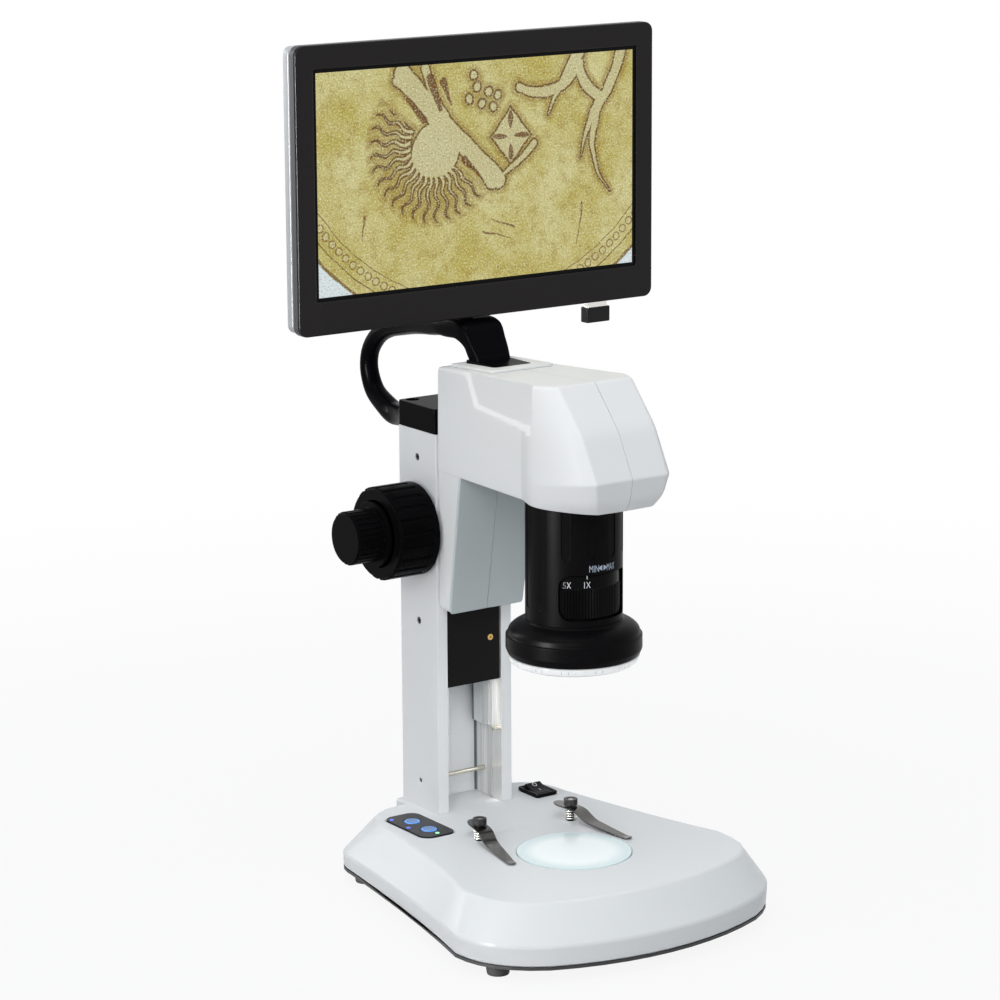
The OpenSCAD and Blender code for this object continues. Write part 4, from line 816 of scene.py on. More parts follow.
class ScopeSizes(bpy.types.PropertyGroup):
    cover_edge: length_property("Base edge", "Width of the base's rounded edges, mm", 1.5)
    metal_edge: length_property("Metal edge", "Width of the column's rounded edges, mm", 0.5)
    seam: length_property("Seam", "Gap between the halves of the head, mm", 0.3)
    ring_ribs: IntProperty(
        name="Zoom ribs", description="Ribs on the zoom ring", min=24, default=96
    )
    light: FloatProperty(
        name="Light", description="Power of the studio lamps", min=0, default=1
    )


# ---------- Operators ----------


class Step(bpy.types.Operator):
    """Base of the steps that build one group of pieces"""

    bl_idname = "scope.step"
    bl_label = "Step"
    bl_options = {"REGISTER", "UNDO"}

    def execute(self, context):
        self.build(context.scene.scope_colors, context.scene.scope_sizes)
        return {"FINISHED"}


class SCOPE_OT_base(Step):
    """Builds the base cover, its plate and its feet"""

    bl_idname = "scope.base"
    bl_label = "Base"

    def build(self, colors, sizes):
        white = moulded(
            "base_white", colors.cover, 0.26, 1300, 0.000012, 0.01, Specular_IOR_Level=0.06
        )
        edge = sizes.cover_edge
        soften("base_shell", "base_cover", "base", "white_shell", white, edge, 3, 26, 26)
        plate_finish = moulded("plate_black", (0.02, 0.02, 0.021), 0.45, 700)
        coat(plate_finish, "base_plate")
        rubber = moulded("foot_rubber", (0.012, 0.012, 0.012), 0.7, 500, 0.00004)
        soften("rubber_feet", "feet", "base", "black_rubber", rubber, 0.6)
        steel = turned("screw_steel", (0.6, 0.61, 0.62), 0.28)
        coat(steel, "foot_screws", "column_screws")
        socket = moulded("socket_black", (0.014, 0.014, 0.015), 0.4)
        soften("power_inlet", "power_socket", "base", "black_plastic", socket, 0.3)


class SCOPE_OT_stage(Step):
    """Builds the lit stage glass and what lies under it"""

    bl_idname = "scope.stage"
    bl_label = "Stage"

    def build(self, colors, sizes):
        coat(stage_glow(at(0, 0, 0), GLASS_R), "stage_glass")
        white = moulded("lamp_board_white", (0.8, 0.8, 0.8), 0.4)
        coat(white, "lamp_board", "led_ring_board")
        lamp = moulded("lamp_lens", (0.9, 0.88, 0.72), 0.2)
        coat(lamp, "lamp_leds")
        board = moulded("board_green", (0.05, 0.22, 0.09), 0.35, 300, 0.00005, 0.1)
        coat(board, "control_board", "button_board", "sensor_board", "screen_board")


class SCOPE_OT_controls(Step):
    """Builds the touch panel, its buttons and lamps, and the rocker switch"""

    bl_idname = "scope.controls"
    bl_label = "Controls"

    def build(self, colors, sizes):
        color = (0.02, 0.019, 0.022)
        panel = moulded("panel_black", color, 0.3, 1800, 0.000006, Specular_IOR_Level=0.1)
        soften("touch_panel", "button_panel", "base", "panel_dark", panel, 0.25)
        for node in ("button_up", "button_down"):
            low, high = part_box(node)
            middle = (low + high) / 2
            finish = lit_button(middle, BUTTON_R, colors.button)
            soften(node, node + "_cap", node, "button_blue", finish, 0.35, 3)
        low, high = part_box("indicator_leds")
        coat(indicator(low.y + 0.005), "indicator_leds")
        black = moulded("switch_black", (0.005, 0.005, 0.006), 0.28, 900, Specular_IOR_Level=0.06)
        soften("switch_housing", "switch_frame", "base", "black_plastic", black, 0.5, 2)
        soften("switch_rocker", "rocker_key", "rocker", "black_plastic", black, 0.5, 3)
        white = Finish("rocker_mark_white", (0.75, 0.76, 0.78), 0.4)
        low, high = span("switch_rocker")
        middle = (low.x + high.x) / 2
        for name, text, size, y, z, slope in (
            ("mark_off", "O", (2.8, 3.2), 98.0, 3.57, 21.2),
            ("mark_on", "I", (0.5, 2.2), 92.8, 2.02, 2.9),
        ):
            rocker_mark(name, text, size, (middle, y, z), slope, white)


def flat_text(name, text):
    """Characters as a flat mesh, with half their width and their height."""
    bpy.ops.object.select_all(action="DESELECT")
    bpy.ops.object.text_add()
    bpy.context.active_object.data.body = text
    bpy.context.active_object.data.align_x = "CENTER"
    bpy.context.active_object.data.resolution_u = 4
    bpy.ops.object.convert(target="MESH")
    made = bpy.context.active_object
    made.name = name
    points = made.data.vertices
    return made, max(abs(point.co.x) for point in points), max(point.co.y for point in points)


def rocker_mark(name, text, size, place, slope, finish):
    """A character on the rocker's sloping face."""
    made, half, tall = flat_text(name, text)
    turn = math.radians(slope)
    for point in made.data.vertices:
        along = (point.co.y / tall - 0.5) * size[1]
        across = point.co.x / half * size[0] / 2
        x, y, z = place
        point.co = at(x + across, y + along * math.cos(turn), z + along * math.sin(turn))
    return settle(made, "rocker", "white_board", finish)


def clip_strip(name, side, toe):
    """A bent spring strip with a rounded tail, a shoulder, a slope and a turned-up tip."""
    low, high = span("clip_nuts")
    post = Vector((side * (high.x - NUT_REACH), (low.y + high.y) / 2, 0))
    top = low.z - 0.8
    path = ((12.4, top), (-7.2, top), (-15.4, top - 4.4), (-42.5, 0.8), (-47, 1.4))
    line = soft_line([Vector(p) for p in path], (4.2, 4.2, 2.4), (24, 3, 18, 3), 8)
    turn = Matrix.Rotation(math.radians(side * toe), 3, "Z")
    rows = []
    for along, z in line:
        tail = max(along - 3.0, 0) / 9.45
        tip = max(-45.4 - along, 0) / 1.65
        taper = min(max((-9 - along) / 38, 0), 1)
        wide = (4.3 - 2.1 * taper) * (max(1 - tail ** 2.6, 0.002) * max(1 - tip ** 2, 0.01)) ** 0.5
        rows.append([turn @ Vector((wide * (u / 6 - 1), along, z)) + post for u in range(13)])
    made = net(name, rows)
    modify(made, "SOLIDIFY", thickness=0.00078, offset=1)
    tidy(made)
    if min(point.co.z for point in made.data.vertices) < at(0, 0, 0.1).z:
        raise ValueError(name + " lies too low")
    round_edges(made, 0.14, 2, 50)
    return made


def coil(name, side, turns):
    """A wire spring round a clip's post."""
    low, high = span("clip_springs")
    post_x = side * (span("clip_nuts")[1].x - NUT_REACH)
    post_y = (low.y + high.y) / 2
    tall = high.z - low.z - 0.86
    wire = 0.00042
    made = add(
        "circle", name, vertices=10, radius=wire, location=(0.0029, 0, wire),
        rotation=(math.pi / 2, 0, 0),
    )
    pick(made)
    bpy.ops.object.transform_apply(location=True, rotation=True, scale=True)
    modify(
        made, "SCREW", axis="Z", angle=math.tau, iterations=turns,
        screw_offset=tall / turns / 1000, steps=28, render_steps=28, use_merge_vertices=False,
    )
    made.location = at(post_x, post_y, 0)
    close(made)
    return made


class SCOPE_OT_clips(Step):
    """Builds the posts, nuts, wire springs and bent strips that hold a specimen"""

    bl_idname = "scope.clips"
    bl_label = "Clips"

    def build(self, colors, sizes):
        strip = brushed("clip_steel", (0.12, 0.118, 0.113), 0.2, 1, 900, 0.000004)
        steel = turned("wire_steel", (0.78, 0.76, 0.72), 0.16)
        black = moulded("nut_black", (0.012, 0.012, 0.013), 0.28, Specular_IOR_Level=0.2)
        soften("clip_posts", "posts", "base", "steel", post_coat("post_steel"), 0.15)
        soften("clip_nuts", "nuts", "base", "black_plastic", black, 0.12, 2)
        for side, name, toe in ((-1, "clip_left", 12.7), (1, "clip_right", 6.4)):
            made = clip_strip(name + "_strip", side, toe)
            smooth(made, 40)
            settle(made, name, "dark_steel", strip, name)
            made = coil("spring_" + name[5:], side, 5)
            smooth(made, 60, False)
            settle(made, "base", "steel", steel, "clip_springs")


class SCOPE_OT_column(Step):
    """Builds the slotted column, its rails, pins, screws and cap"""

    bl_idname = "scope.column"
    bl_label = "Column"

    def build(self, colors, sizes):
        paint = column_coat("column_paint", colors.column)
        soften("column", "column_profile", "base", "column_paint", paint, sizes.metal_edge, 2)
        soften("guide_rails", "rails", "base", "bare_aluminium", rail_coat("rail_aluminium"), 0.3)
        soften("stop_rods", "stop_rods_steel", "base", "steel", rod_coat("pin_steel"), 0.2)
        dark = turned("screw_black", (0.05, 0.05, 0.05), 0.35)
        coat(dark, "gib_screws", "cap_screws", "rack")
        brass = turned("bush_brass", (0.6, 0.42, 0.16), 0.28)
        coat(brass, "shaft_bushes", "slider_screw")
        color = (0.0025, 0.0025, 0.003)
        black = moulded("cap_black", color, 0.3, 1100, 0.00001, Specular_IOR_Level=0.015)
        soften("column_cap", "cap", "base", "black_plastic", black, 0.5, 2)
        slide = moulded("slide_black", (0.010, 0.009, 0.009), 0.4, 900, Specular_IOR_Level=0.06)
        soften("slider", "slide_plate", "head", "black_satin_metal", slide, 0.3, 2)


class SCOPE_OT_knobs(Step):
    """Builds the coarse and fine focus knobs and their shafts"""

    bl_idname = "scope.knobs"
    bl_label = "Knobs"

    def build(self, colors, sizes):
        black = moulded("knob_black", colors.knob, 0.28, 1200, 0.00001, Specular_IOR_Level=0.018)
        for side in ("left", "right"):
            for body, width in (("coarse", 0.35), ("fine", 0.25)):
                node, name = body + "_knob_" + side, body + "_" + side
                soften(node, name, body, "black_plastic", black, width, 2)
        steel = turned("shaft_steel", (0.6, 0.6, 0.6), 0.2)
        coat(steel, "pinion_shaft", "fine_shaft", "tilt_pin")


class SCOPE_OT_handle(Step):
    """Builds the carrying handle, its neck and the tilt hinge"""

    bl_idname = "scope.handle"
    bl_label = "Handle"

    def build(self, colors, sizes):
        black = moulded(
            "handle_black", colors.handle, 0.26, 1200, 0.000008, Specular_IOR_Level=0.012
        )
        soften("handle", "carrying_handle", "base", "black_plastic", black, 0.3, 2, 75, 75)
        dark = moulded("hinge_black", (0.006, 0.006, 0.007), 0.35, Specular_IOR_Level=0.05)
        soften("tilt_bracket", "hinge_bracket", "base", "black_satin_metal", dark, 0.4)
        soften("screen_hinge", "hinge_knuckle", "display", "black_plastic", dark, 0.4)
        coat(dark, "cable_conduit")


def head_outlines(wall):
    """Half outlines of the head at its underside, its crease and its top, front to back."""
    low, high = span("head_right_shell")
    w, f, back = high.x - wall, -low.y - wall, high.y - wall
    side, root, t = 28.6 - 1.6 * wall, 24 - 1.4 * wall, 18.2 - wall
    under = [
        (0, 5.6 - f), (w - 16.9, 6.6 - f), (w - 11.4, 12.6 - f), (w - 5.4, 24 - f),
        (w - 1.7, 34.4 - f), (w - 1.4, 43 - f), (side - 0.5, 6), (root - 0.1, back), (0, back),
    ]
    crease = [
        (0, -f), (w - 12.2, -f), (w - 6.8, 5.6 - f), (w - 2.6, 16.6 - f),
        (w, 30.6 - f), (w - 0.2, 43 - f), (side, 6), (root, back), (0, back),
    ]
    top = [
        (0, -t), (23.2 - wall, -t), (25.8 - wall, 4.8 - t), (28 - wall, 9.6 - t),
        (29.6 - wall, 14.4 - t), (30 - wall, 18 - t), (side - 0.4, 6), (root - 0.6, back),
        (0, back),
    ]
    return [[Vector(point) for point in line] for line in (under, crease, top)]


def recess(y, z):
    """1 on the panel let into the head's flank and 0 around it, with sloping edges."""
    roof = HEAD_TOP
    edges = (
        ((70, roof + 15), (52.6, roof - 16.1), 3.2),
        ((52.6, roof - 16.1), (26.5, roof - 17.8), 2.6),
        ((26.5, roof - 17.8), (-9, roof - 20), 2.6),
        ((-9, roof - 20), (-3.5, roof + 15), 3.0),
    )
    inside = 1.0
    for (y0, z0), (y1, z1), width in edges:
        across = ((y1 - y0) * (z - z0) - (z1 - z0) * (y - y0)) / math.hypot(y1 - y0, z1 - z0)
        inside = min(inside, -across / width)
    inside = max(inside, 0.0)
    return inside * inside * (3 - 2 * inside)


def head_half(name, wall, runs, rise, steps, start):
    """The right side of the head's outer skin, or of its hollow where there is a wall."""
    low, high = span("head_right_shell")
    base = HEAD_LOW + wall
    roof = HEAD_TOP - wall
    under, crease, top = head_outlines(wall)
    blend = [[a * (1 - t) + b * t for a, b in zip(p, q)] for p, q, t in (
        (under, crease, 0.62), (crease, top, 0.38)
    )]
    corners = (
        (under, (1.1, 4, 5, 4, 4, 1.6, 1.2)), (blend[0], (1, 4, 5, 5, 5, 1.6, 1.2)),
        (crease, (0.9, 4, 5.5, 6, 5.5, 1.6, 1.2)), (blend[1], (1.2, 3.6, 4.5, 4, 4, 1.6, 1.2)),
        (top, (1.6, 2.4, 2.4, 1.7, 1.7, 1.4, 1.2)),
    )
    rings = [soft_line(line, reaches, runs, steps) for line, reaches in corners]
    count = len(rings[0])
    columns = []
    for index in range(count):
        u = index / (count - 1)
        foot, first, edge, second, brow = (ring[index] for ring in rings)
        edge_z = max(HEAD_LOW + 17 - 0.12 * (edge.y - low.y), HEAD_LOW) + wall * 0.6
        far = Vector((0, -44.5 + wall + 130 * u))
        ridge = Vector((0, -17 + wall + 77 * u))
        heights = (
            base, base, base + 0.35 * (edge_z - base), edge_z, (edge_z + roof + 7) / 2,
            roof + HEAD_SLOPE * (high.y - brow.y), roof + HEAD_SLOPE * (high.y - ridge.y),
        )
        line = (far, foot, first, edge, second, brow, ridge)
        corner = [Vector((p.x, p.y, z)) for p, z in zip(line, heights)]
        columns.append(soft_line(corner, (1.1, 3, 0.9, 4, 2.4), rise, steps))
    rows = list(zip(*columns))
    for row in rows:
        for point in row:
            if wall and point.z > 222:
                point.x = min(point.x, 26.75)
            elif point.x > 15:
                panel = 26.7 - 0.0575 * (point.y - 6)
                point.x += min(panel - point.x, 0) * recess(point.y, point.z)
            point.x = start if point.x < 0.3 else point.x
    return close(net(name, rows))


def cover_half(name, start):
    """The right side of the cover that hangs from the head over the rack."""
    low, high = span("head_right_shell")
    top = HEAD_LOW + 5
    front = {low.z: 79.8, top: 66.6}
    back = high.y - 0.3
    rings = []
    for z, half in ((low.z, 23.7), (top, 25.05)):
        line = [(0, front[z]), (half, front[z]), (23.85, back), (0, back)]
        rings.append(soft_line([Vector(p) for p in line], (1.3, 1.2), (8, 12, 4)))
    count = len(rings[0])
    columns = []
    for index in range(count):
        foot, brow = rings[0][index], rings[1][index]
        middle = Vector((0, front[low.z] + 1 + 8 * index / (count - 1)))
        flank = min(max(foot.y - front[low.z], 0) / 1.3, 1) * min(foot.x / 20, 1)
        line = ((middle, low.z), (foot, low.z), (brow, top), (middle, top))
        corner = [Vector((p.x, p.y, z)) for p, z in line]
        columns.append(soft_line(corner, (1.1 + 3.6 * flank, 0.5), (3, 30, 2)))
    rows = list(zip(*columns))
    for row in rows:
        for point in row:
            point.x = start if point.x < 0.3 else point.x
    return close(net(name, rows))


def head_coat(name, color):
    """Fine-textured white moulding; the panel over the rack is painted greyer and cooler, as
    painted shade under the head.
    """
    made = moulded(name, color, 0.42, 1500, 0.00001, 0.008, Specular_IOR_Level=0.03)
    x, y, z = made.millimetres()
    slant = y + (z - 114.5) * 0.162
    top = (x.call("ABSOLUTE") < 24.4) * 5.0 + (HEAD_LOW - 0.4)
    # Mask of the panel under the head that gets the painted shade.
    panel = (slant < 81.0) * (y > 64) * (z < top)
    cast = made.noise(14, 3)
    white = made.mix(cast, scaled(color, 0.99), color)
    # Painted shade: the grey and cooler tone of the panel under the head's overhang.
    grey = tuple(part * share for part, share in zip(color, (0.70, 0.755, 0.765)))
    made.feed("Base Color", made.mix(panel, white, grey))
    return made


class SCOPE_OT_head(Step):
    """Builds the head's shells and collar"""

    bl_idname = "scope.head"
    bl_label = "Head"

    def build(self, colors, sizes):
        white = head_coat("head_white", colors.head)
        seam = sizes.seam / 2
        runs, rise = (10, 3, 4, 4, 8, 26, 100, 6), (3, 2, 4, 16, 64, 5)
        right = head_half("shell_right", 0, runs, rise, 6, -2)
        carve(right, cover_half("cover", -3), "UNION")
        carve(right, head_half("hollow", 2.4, (2, 1, 1, 1, 1, 1, 8, 1), (1,) * 6, 2, 3))
        foot = at(0, 0, HEAD_LOW)
        tube = add("cylinder", "hole", radius=0.02545, depth=0.02, location=foot, vertices=128)
        carve(right, tube)
        carve(right, block("opening", (-18, 46.3, HEAD_TOP - 12), (17.5, 82.7, HEAD_TOP + 12)))
        carve(right, block("back_opening", (-17, 84, 112), (16, 92, HEAD_LOW + 18)))
        carve(right, block("right_side", (seam, -90, 90), (60, 120, 280)), "INTERSECT")
        left = twin(right, "shell_left")
        for side, shell in (("right", right), ("left", left)):
            smooth(shell, 32)
            settle(shell, "head", "head_plastic", white, "head_" + side + "_shell")
        soften("head_collar", "collar", "head", "head_plastic", white, 0.5, 3)
        cast = brushed("frame_aluminium", (0.6, 0.6, 0.62), 0.4, 2)
        coat(cast, "head_frame")


def tube_window(name, low, high, half, corner):
    """A block that cuts a window with rounded corners through the tube's wall."""
    rows = []
    for step in range(25):
        t = step / 24
        z = low + (high - low) * (0.5 - 0.5 * math.cos(math.pi * t))
        near = max(corner - (z - low), corner - (high - z), 0) / corner
        wide = half - math.degrees(corner / TUBE_R) * (1 - math.sqrt(1 - near * near))
        rows.append([around(TUBE_R + 1, math.radians(wide * (u / 20 - 1)), z) for u in range(41)])
    made = net(name, rows)
    modify(made, "SOLIDIFY", thickness=0.008, offset=0)
    return made


def tube_groove(name, angle, low, high, width, depth):
    """A block that cuts a flat-bottomed groove with a round lower end along the tube."""
    outward = around(1, angle, 0)
    across = Vector((outward.y, -outward.x, 0))
    half = width / 2
    outline = [(half, high), (-half, high)]
    for step in range(9):
        turn = math.pi * step / 8
        outline.append((-half * math.cos(turn), low + half - half * math.sin(turn)))
    floor = outward * (TUBE_R - depth)
    points = [at(*(floor + across * x + Vector((0, 0, z)))) for x, z in outline]
    return plate(name, points, outward * 0.003)


def ribbed_ring(name, ribs, depth):
    """The zoom ring: upright ribs below, and a plain band above for its marks."""
    profile = (
        (21.3, 130.9, 0), (23.2, 130.9, 0), (23.9, 131.5, 1), (23.9, 146.7, 1), (23.4, 147.2, 0),
        (23.5, 147.5, 0), (23.5, 153.7, 0), (23.2, 154.1, 0), (21.3, 154.1, 0), (21.3, 130.9, 0),
    )
    wave = (0, 0, 1, 1)
    rows = []
    for r, z, ribbed in profile:
        rows.append([
            around(r - ribbed * depth * wave[index % 4], math.tau * index / (4 * ribs), z)
            for index in range(4 * ribs + 1)
        ])
    return close(net(name, rows))


class SCOPE_OT_tube(Step):
    """Builds the camera tube, its bell, the zoom ring and the light ring"""

    bl_idname = "scope.tube"
    bl_label = "Tube"

    def build(self, colors, sizes):
        black = speckled("tube_black", colors.tube, 0.34)
        low, high = TUBE_LOW, 235.0
        window_low, window_high = low + 3.5, low + 27.5
        profile = (
            (24.4, low), (25.05, low), (TUBE_R, low + 0.2), (TUBE_R, high), (22.65, high),
            (22.65, window_high + 0.6), (24.4, window_high + 0.6),
        )
        tube = lathe("tube", profile, AXIS, 160)
        grooves = []
        for index in range(12):
            turn = 30 * index + 15
            start = window_high + 8 if turn < 75 or turn > 285 else low + 7
            grooves.append(tube_groove("groove", math.radians(turn), start, high + 1, 4.7, 0.5))
        carve(tube, join(*grooves))
        carve(tube, tube_window("window", window_low, window_high, 54, 6.5))
        round_edges(tube, 0.14, 2, 40)
        smooth(tube, 40)
        settle(tube, "head", "black_satin_metal", black, "camera_tube")

        shoulder = [Vector(point) for point in (
            (25.3, 127), (26.0, 125.9), (30.6, 124.4), (34.0, 121.6), (34.5, 118.4),
            (35.45, 118.3), (35.5, 111.2), (33.9, 107.5), (31.6, 107.5),
        )]
        outer = soft_line(shoulder, (0.6, 2.2, 2.2, 1.2, 0.3, 0.6, 1.9), (1,) * 8, 4)
        inner = [(32.3, 108.4), (32.3, 114.4), (21, 114.4), (21, 126), (22.65, 127)]
        bell = lathe("bell", [tuple(point) for point in outer] + inner, AXIS, 128)
        smooth(bell, 40)
        settle(bell, "head", "black_satin_metal", black, "lens_bell")

        inside = moulded("barrel_black", (0.01, 0.01, 0.01), 0.4, Specular_IOR_Level=0.2)
        coat(inside, "lens_barrel")
        glass = Finish("lens_glass", (0.6, 0.75, 0.85), 0.03, Transmission_Weight=1.0)
        coat(glass, "lenses")
        ring = moulded("ring_black", (0.003, 0.003, 0.0035), 0.26, Specular_IOR_Level=0.04)
        collar = ribbed_ring("zoom_collar", sizes.ring_ribs, 0.45)
        smooth(collar, 25)
        settle(collar, "zoom", "black_plastic", ring, "zoom_ring")
        ring = lathe("clear_ring", (
            (24.2, 107.4), (24.2, 104.6), (25, 103.4), (31.4, 103.0), (33.0, 103.9),
            (34.0, 105.2), (34.4, 107.4),
        ), AXIS, 160)
        round_edges(ring, 0.3, 2, 20)
        smooth(ring, 40)
        settle(ring, "head", "clear_diffuser", ring_light(), "led_ring")

        white = Finish("mark_white", (0.72, 0.74, 0.76), 0.5)
        pale = Finish("mark_blue", (0.42, 0.50, 0.60), 0.5)
        # Painted shade: the 5 is painted dark grey, as shade by the window's edge.
        painted_shade_mark = Finish("mark_painted_shade", (0.09, 0.09, 0.09), 0.5)
        ring_r, ring_z, tube_z = 23.5, 147.6, 156.1
        for name, text, size, angle, radius, z, finish, body in (
            ("mark_1x", "1X", (4.2, 3.3), -19.5, ring_r, ring_z, white, "zoom"),
            ("mark_5", "5", (1.9, 3.2), -47.5, ring_r, ring_z, painted_shade_mark, "zoom"),
            ("mark_x", "X", (2.3, 3.3), -42, ring_r, ring_z, white, "zoom"),
            ("mark_line", "I", (0.45, 2.0), -20, TUBE_R - 0.5, 152.6, white, "head"),
            ("mark_min", "MIN", (5.4, 3.5), -11.5, TUBE_R, tube_z, pale, "head"),
            ("mark_max", "MAX", (5.8, 3.5), 12, TUBE_R, tube_z, pale, "head"),
        ):
            lettering(name, text, size, angle, radius, z, finish, body)
        for side, name in ((-1, "mark_arrow_left"), (1, "mark_arrow_right")):
            settle(arrow_mark(name, side), "head", "white_board", pale)


def arrow_mark(name, side):
    """A flat triangle on the tube that points away from its middle."""
    foot = ((side * 0.4, 156.4), (side * 0.4, 159.4))
    tip = (side * 2.9, 157.9)
    rows = [[around(TUBE_R + 0.03, x / TUBE_R, z) for x, z in (corner, tip)] for corner in foot]
    made = net(name, rows)
    tidy(made)
    return made


def frame_net(name, stations):
    """A closed frame through rounded rectangles: width, height, radius, depth and middle."""
    rows = [frame_line(*station) for station in stations]
    return close(net(name, rows))


class SCOPE_OT_display(Step):
    """Builds the display's bezel, picture, back cover and memory stick"""

    bl_idname = "scope.display"
    bl_label = "Display"

    def build(self, colors, sizes):
        low, high = span("screen_bezel")
        width, height, middle = high.x - low.x, high.z - low.z, (low.z + high.z) / 2
        front, picture = low.y, middle + 2.6
        (wide, tall), lcd_y = PICTURE, front + 1.3
        hole = [
            (wide + 4 + 2 * out, tall + 4 + 2 * out, 1 + out, front + y, picture)
            for out, y in ((2.0, 1.25), (0, 1.25), (0, 0.5), (0.45, 0.05), (0.9, 0))
        ]
        rim = [(width - 2 * out, height - 2 * out, 5 - out, front + y, middle) for out, y in (
            (1.0, 0), (0.45, 0.08), (0.1, 0.4), (0, 0.9), (0.05, 1.1), (0.7, 1.2), (0.7, 1.7),
            (0.05, 1.8), (0, 2.0), (0, 6.0), (0.15, 6.1), (0.15, 6.6), (1.3, 6.7), (1.3, 8.4),
        )]
        shut = [(wide + 8.4, tall + 7.4, 1, front + y, picture) for y in (8.4, 1.25)]
        bezel = frame_net("bezel", hole + rim + shut + hole[:1])
        carve(bezel, block("socket", (73.6, 88.6, low.z - 1), (86.4, 91.8, low.z + 15)))
        smooth(bezel, 40)
        finish = bezel_coat("bezel_dark", colors.bezel, front)
        settle(bezel, "display", "bezel_plastic", finish, "screen_bezel")
        coat(macro_picture(at(0, lcd_y, picture), wide / 2, tall / 2), "lcd_panel")

        grey = moulded("back_grey", colors.back, 0.35, 900)
        soften("screen_back", "back_cover", "display", "cover_plastic", grey, 0.8, 3)
        stick = moulded("stick_black", (0.007, 0.007, 0.007), 0.3, Specular_IOR_Level=0.14)
        soften("usb_stick", "memory_stick", "usb", "black_plastic", stick_coat(stick), 0.3)


def bezel_coat(name, color, front):
    """Dark gloss in front, greyer sides, painted shade in the grooves, and a thin bright line
    before the back cover.
    """
    made = Finish(name, color, 0.28, Specular_IOR_Level=0.14)
    _, y, _ = made.millimetres()
    depth = y - front
    side = depth.ramp(1.7, 1.9)
    line = depth.ramp(6.02, 6.08) * (1 - depth.ramp(6.6, 6.68))
    step = depth.ramp(1.0, 1.15) * (1 - depth.ramp(1.6, 1.75))
    groove = depth.ramp(6.7, 6.8).call("MAXIMUM", step)
    drift = made.noise(6, 3)
    tone = made.mix(drift, scaled(color, 0.85), scaled(color, 1.2))
    tone = made.mix(side, tone, (0.075, 0.075, 0.078))
    # Painted shade: the grooves' floors are painted near black.
    tone = made.mix(groove, tone, (0.003, 0.003, 0.003))
    tone = made.mix(line, tone, (0.5, 0.5, 0.5))
    made.feed("Base Color", tone)
    made.feed("Roughness", 0.24 + 0.06 * drift + 0.12 * side)
    made.bump(made.noise(1500, 2), 0.000008)
    return made


def stick_coat(made):
    """Bright metal above the memory stick's black cap."""
    top = span("screen_bezel")[0].z - 3.8
    _, _, z = made.millimetres()
    plug = z > top + 0.02
    made.feed("Base Color", made.mix(plug, (0.012, 0.012, 0.012), (0.75, 0.74, 0.7)))
    made.feed("Metallic", plug)
    return made


class SCOPE_OT_studio(Step):
    """Sets the floor, the lamps, the world and the camera"""

    bl_idname = "scope.studio"
    bl_label = "Studio"

    def build(self, colors, sizes):
        floor = add("plane", "studio_floor", size=60, location=(0, 0, -0.0002))
        pale = Finish("floor_white", (0.5, 0.5, 0.5), 0.6, Specular_IOR_Level=0.1)
        x, y, _ = pale.parts(pale.place)
        far = hypotenuse(x, y).ramp(0.2, 1.1)
        plain = pale.node("ShaderNodeEmission", None, {"Color": (1, 1, 1, 1), "Strength": 1.0})
        shader = Link(pale, pale.shader.outputs[0])
        factor = seen_rays(pale) * (0.9 + 0.1 * far)
        shown = pale.node("ShaderNodeMixShader", None, {0: factor, 1: shader, 2: plain})
        pale.tree.links.new(shown.socket, pale.tree.nodes["Material Output"].inputs[0])
        floor.data.materials.append(pale.material)

        world = bpy.data.worlds.new("studio")
        bpy.context.scene.world = world
        world.use_nodes = True
        air = Finish.__new__(Finish)
        air.tree = world.node_tree
        soft = {"Color": (0.88, 0.95, 1.0, 1), "Strength": 0.5}
        soft = air.node("ShaderNodeBackground", None, soft)
        white = air.node("ShaderNodeBackground", None, {"Color": (1, 1, 1, 1), "Strength": 1.0})
        shown = air.node("ShaderNodeMixShader", None, {0: seen_rays(air), 1: soft, 2: white})
        air.tree.links.new(shown.socket, air.tree.nodes["World Output"].inputs[0])

        power = sizes.light
        for name, place, target, size, watts, lights in LAMPS:
            lamp(name, place, target, size, watts * power, lights)

        pitch, yaw, roll = (math.radians(turn) for turn in CAMERA_TURN)
        forward = Vector((
            math.cos(pitch) * math.sin(yaw), math.cos(pitch) * math.cos(yaw), -math.sin(pitch)
        ))
        level = Vector((math.cos(yaw), -math.sin(yaw), 0))
        over = level.cross(forward)
        right = level * math.cos(roll) + over * math.sin(roll)
        up = over * math.cos(roll) - level * math.sin(roll)
        data = bpy.data.cameras.new("camera")
        data.lens = CAMERA_LENS
        data.sensor_width = 36
        data.clip_end = 100
        camera = bpy.data.objects.new("camera", data)
        bpy.context.collection.objects.link(camera)
        turn = Matrix((right, up, -forward)).transposed().to_4x4()
        camera.matrix_world = Matrix.Translation(at(*CAMERA_PLACE)) @ turn
        scene = bpy.context.scene
        scene.camera = camera
        scene.view_settings.view_transform = "Standard"


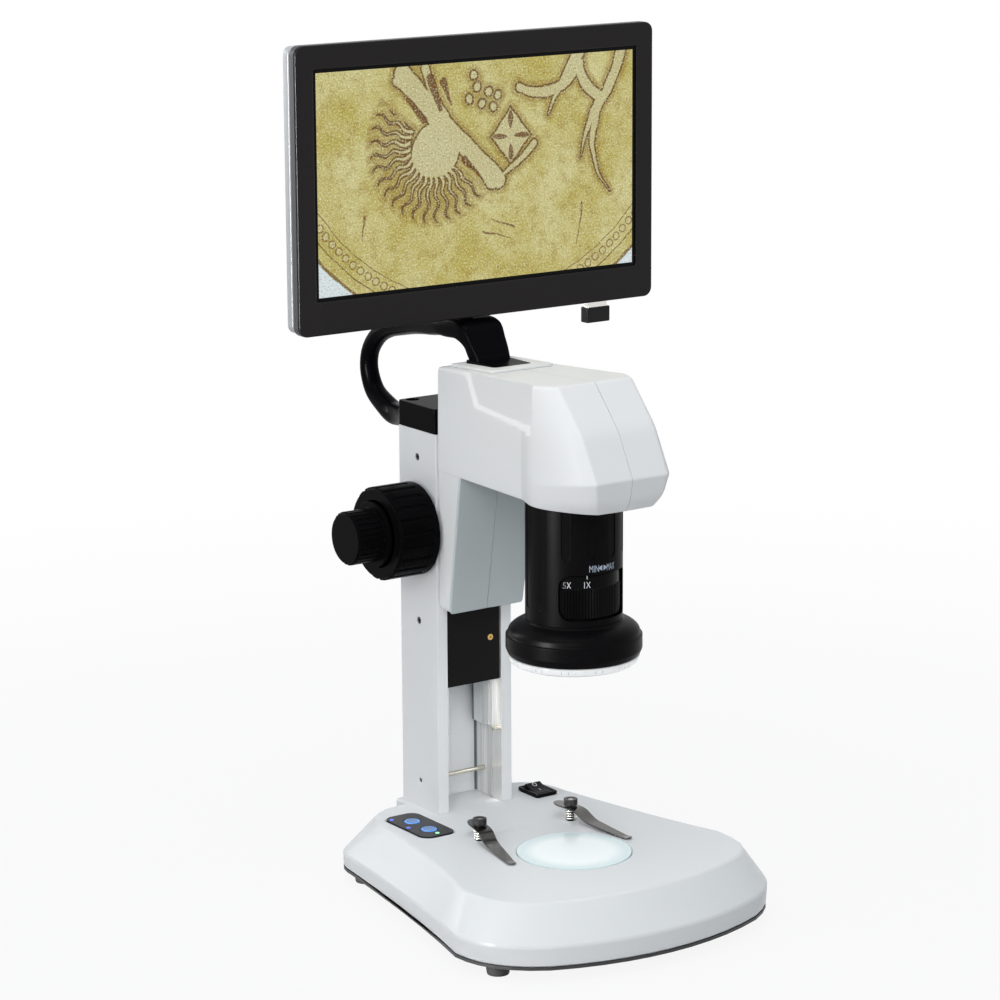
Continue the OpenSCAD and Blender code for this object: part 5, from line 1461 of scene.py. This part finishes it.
def seen_rays(finish):
    """1 for what the camera sees directly, in a gloss or through glass."""
    camera, glossy, through = (
        finish.node("ShaderNodeLightPath", None, None, "Is " + kind + " Ray")
        for kind in ("Camera", "Glossy", "Transmission")
    )
    return camera.call("MAXIMUM", glossy).call("MAXIMUM", through)


def lamp(name, place, target, size, power, lights):
    """A lamp of a given width and height that looks at a point; it may show in gloss alone."""
    data = bpy.data.lights.new(name, "AREA")
    data.shape = "RECTANGLE"
    data.size, data.size_y = size
    data.energy = power
    made = bpy.data.objects.new(name, data)
    made.visible_camera = False
    made.visible_diffuse = lights
    made.location = place
    made.rotation_euler = (Vector(target) - Vector(place)).to_track_quat("-Z", "Y").to_euler()
    bpy.context.collection.objects.link(made)


STEPS = (
    SCOPE_OT_base, SCOPE_OT_stage, SCOPE_OT_controls, SCOPE_OT_clips, SCOPE_OT_column,
    SCOPE_OT_knobs, SCOPE_OT_handle, SCOPE_OT_head, SCOPE_OT_tube, SCOPE_OT_display,
    SCOPE_OT_studio,
)


class SCOPE_PT_panel(bpy.types.Panel):
    """Lists the steps, the colours and the sizes in the sidebar"""

    bl_idname = "SCOPE_PT_panel"
    bl_label = "Display microscope"
    bl_space_type = "VIEW_3D"
    bl_region_type = "UI"
    bl_category = "Microscope"

    def draw(self, context):
        for step in STEPS:
            self.layout.operator(step.bl_idname)
        for group in (context.scene.scope_colors, context.scene.scope_sizes):
            for key in group.bl_rna.properties.keys():
                if key not in ("rna_type", "name"):
                    self.layout.prop(group, key)


CLASSES = (ScopeColors, ScopeSizes) + STEPS + (SCOPE_PT_panel,)


def register():
    for item in CLASSES:
        bpy.utils.register_class(item)
    bpy.types.Scene.scope_colors = PointerProperty(type=ScopeColors)
    bpy.types.Scene.scope_sizes = PointerProperty(type=ScopeSizes)


def unregister():
    del bpy.types.Scene.scope_sizes
    del bpy.types.Scene.scope_colors
    for item in reversed(CLASSES):
        bpy.utils.unregister_class(item)


def main():
    register()
    for step in STEPS:
        getattr(bpy.ops.scope, step.bl_idname.split(".")[1])()


if __name__ == "__main__":
    main()
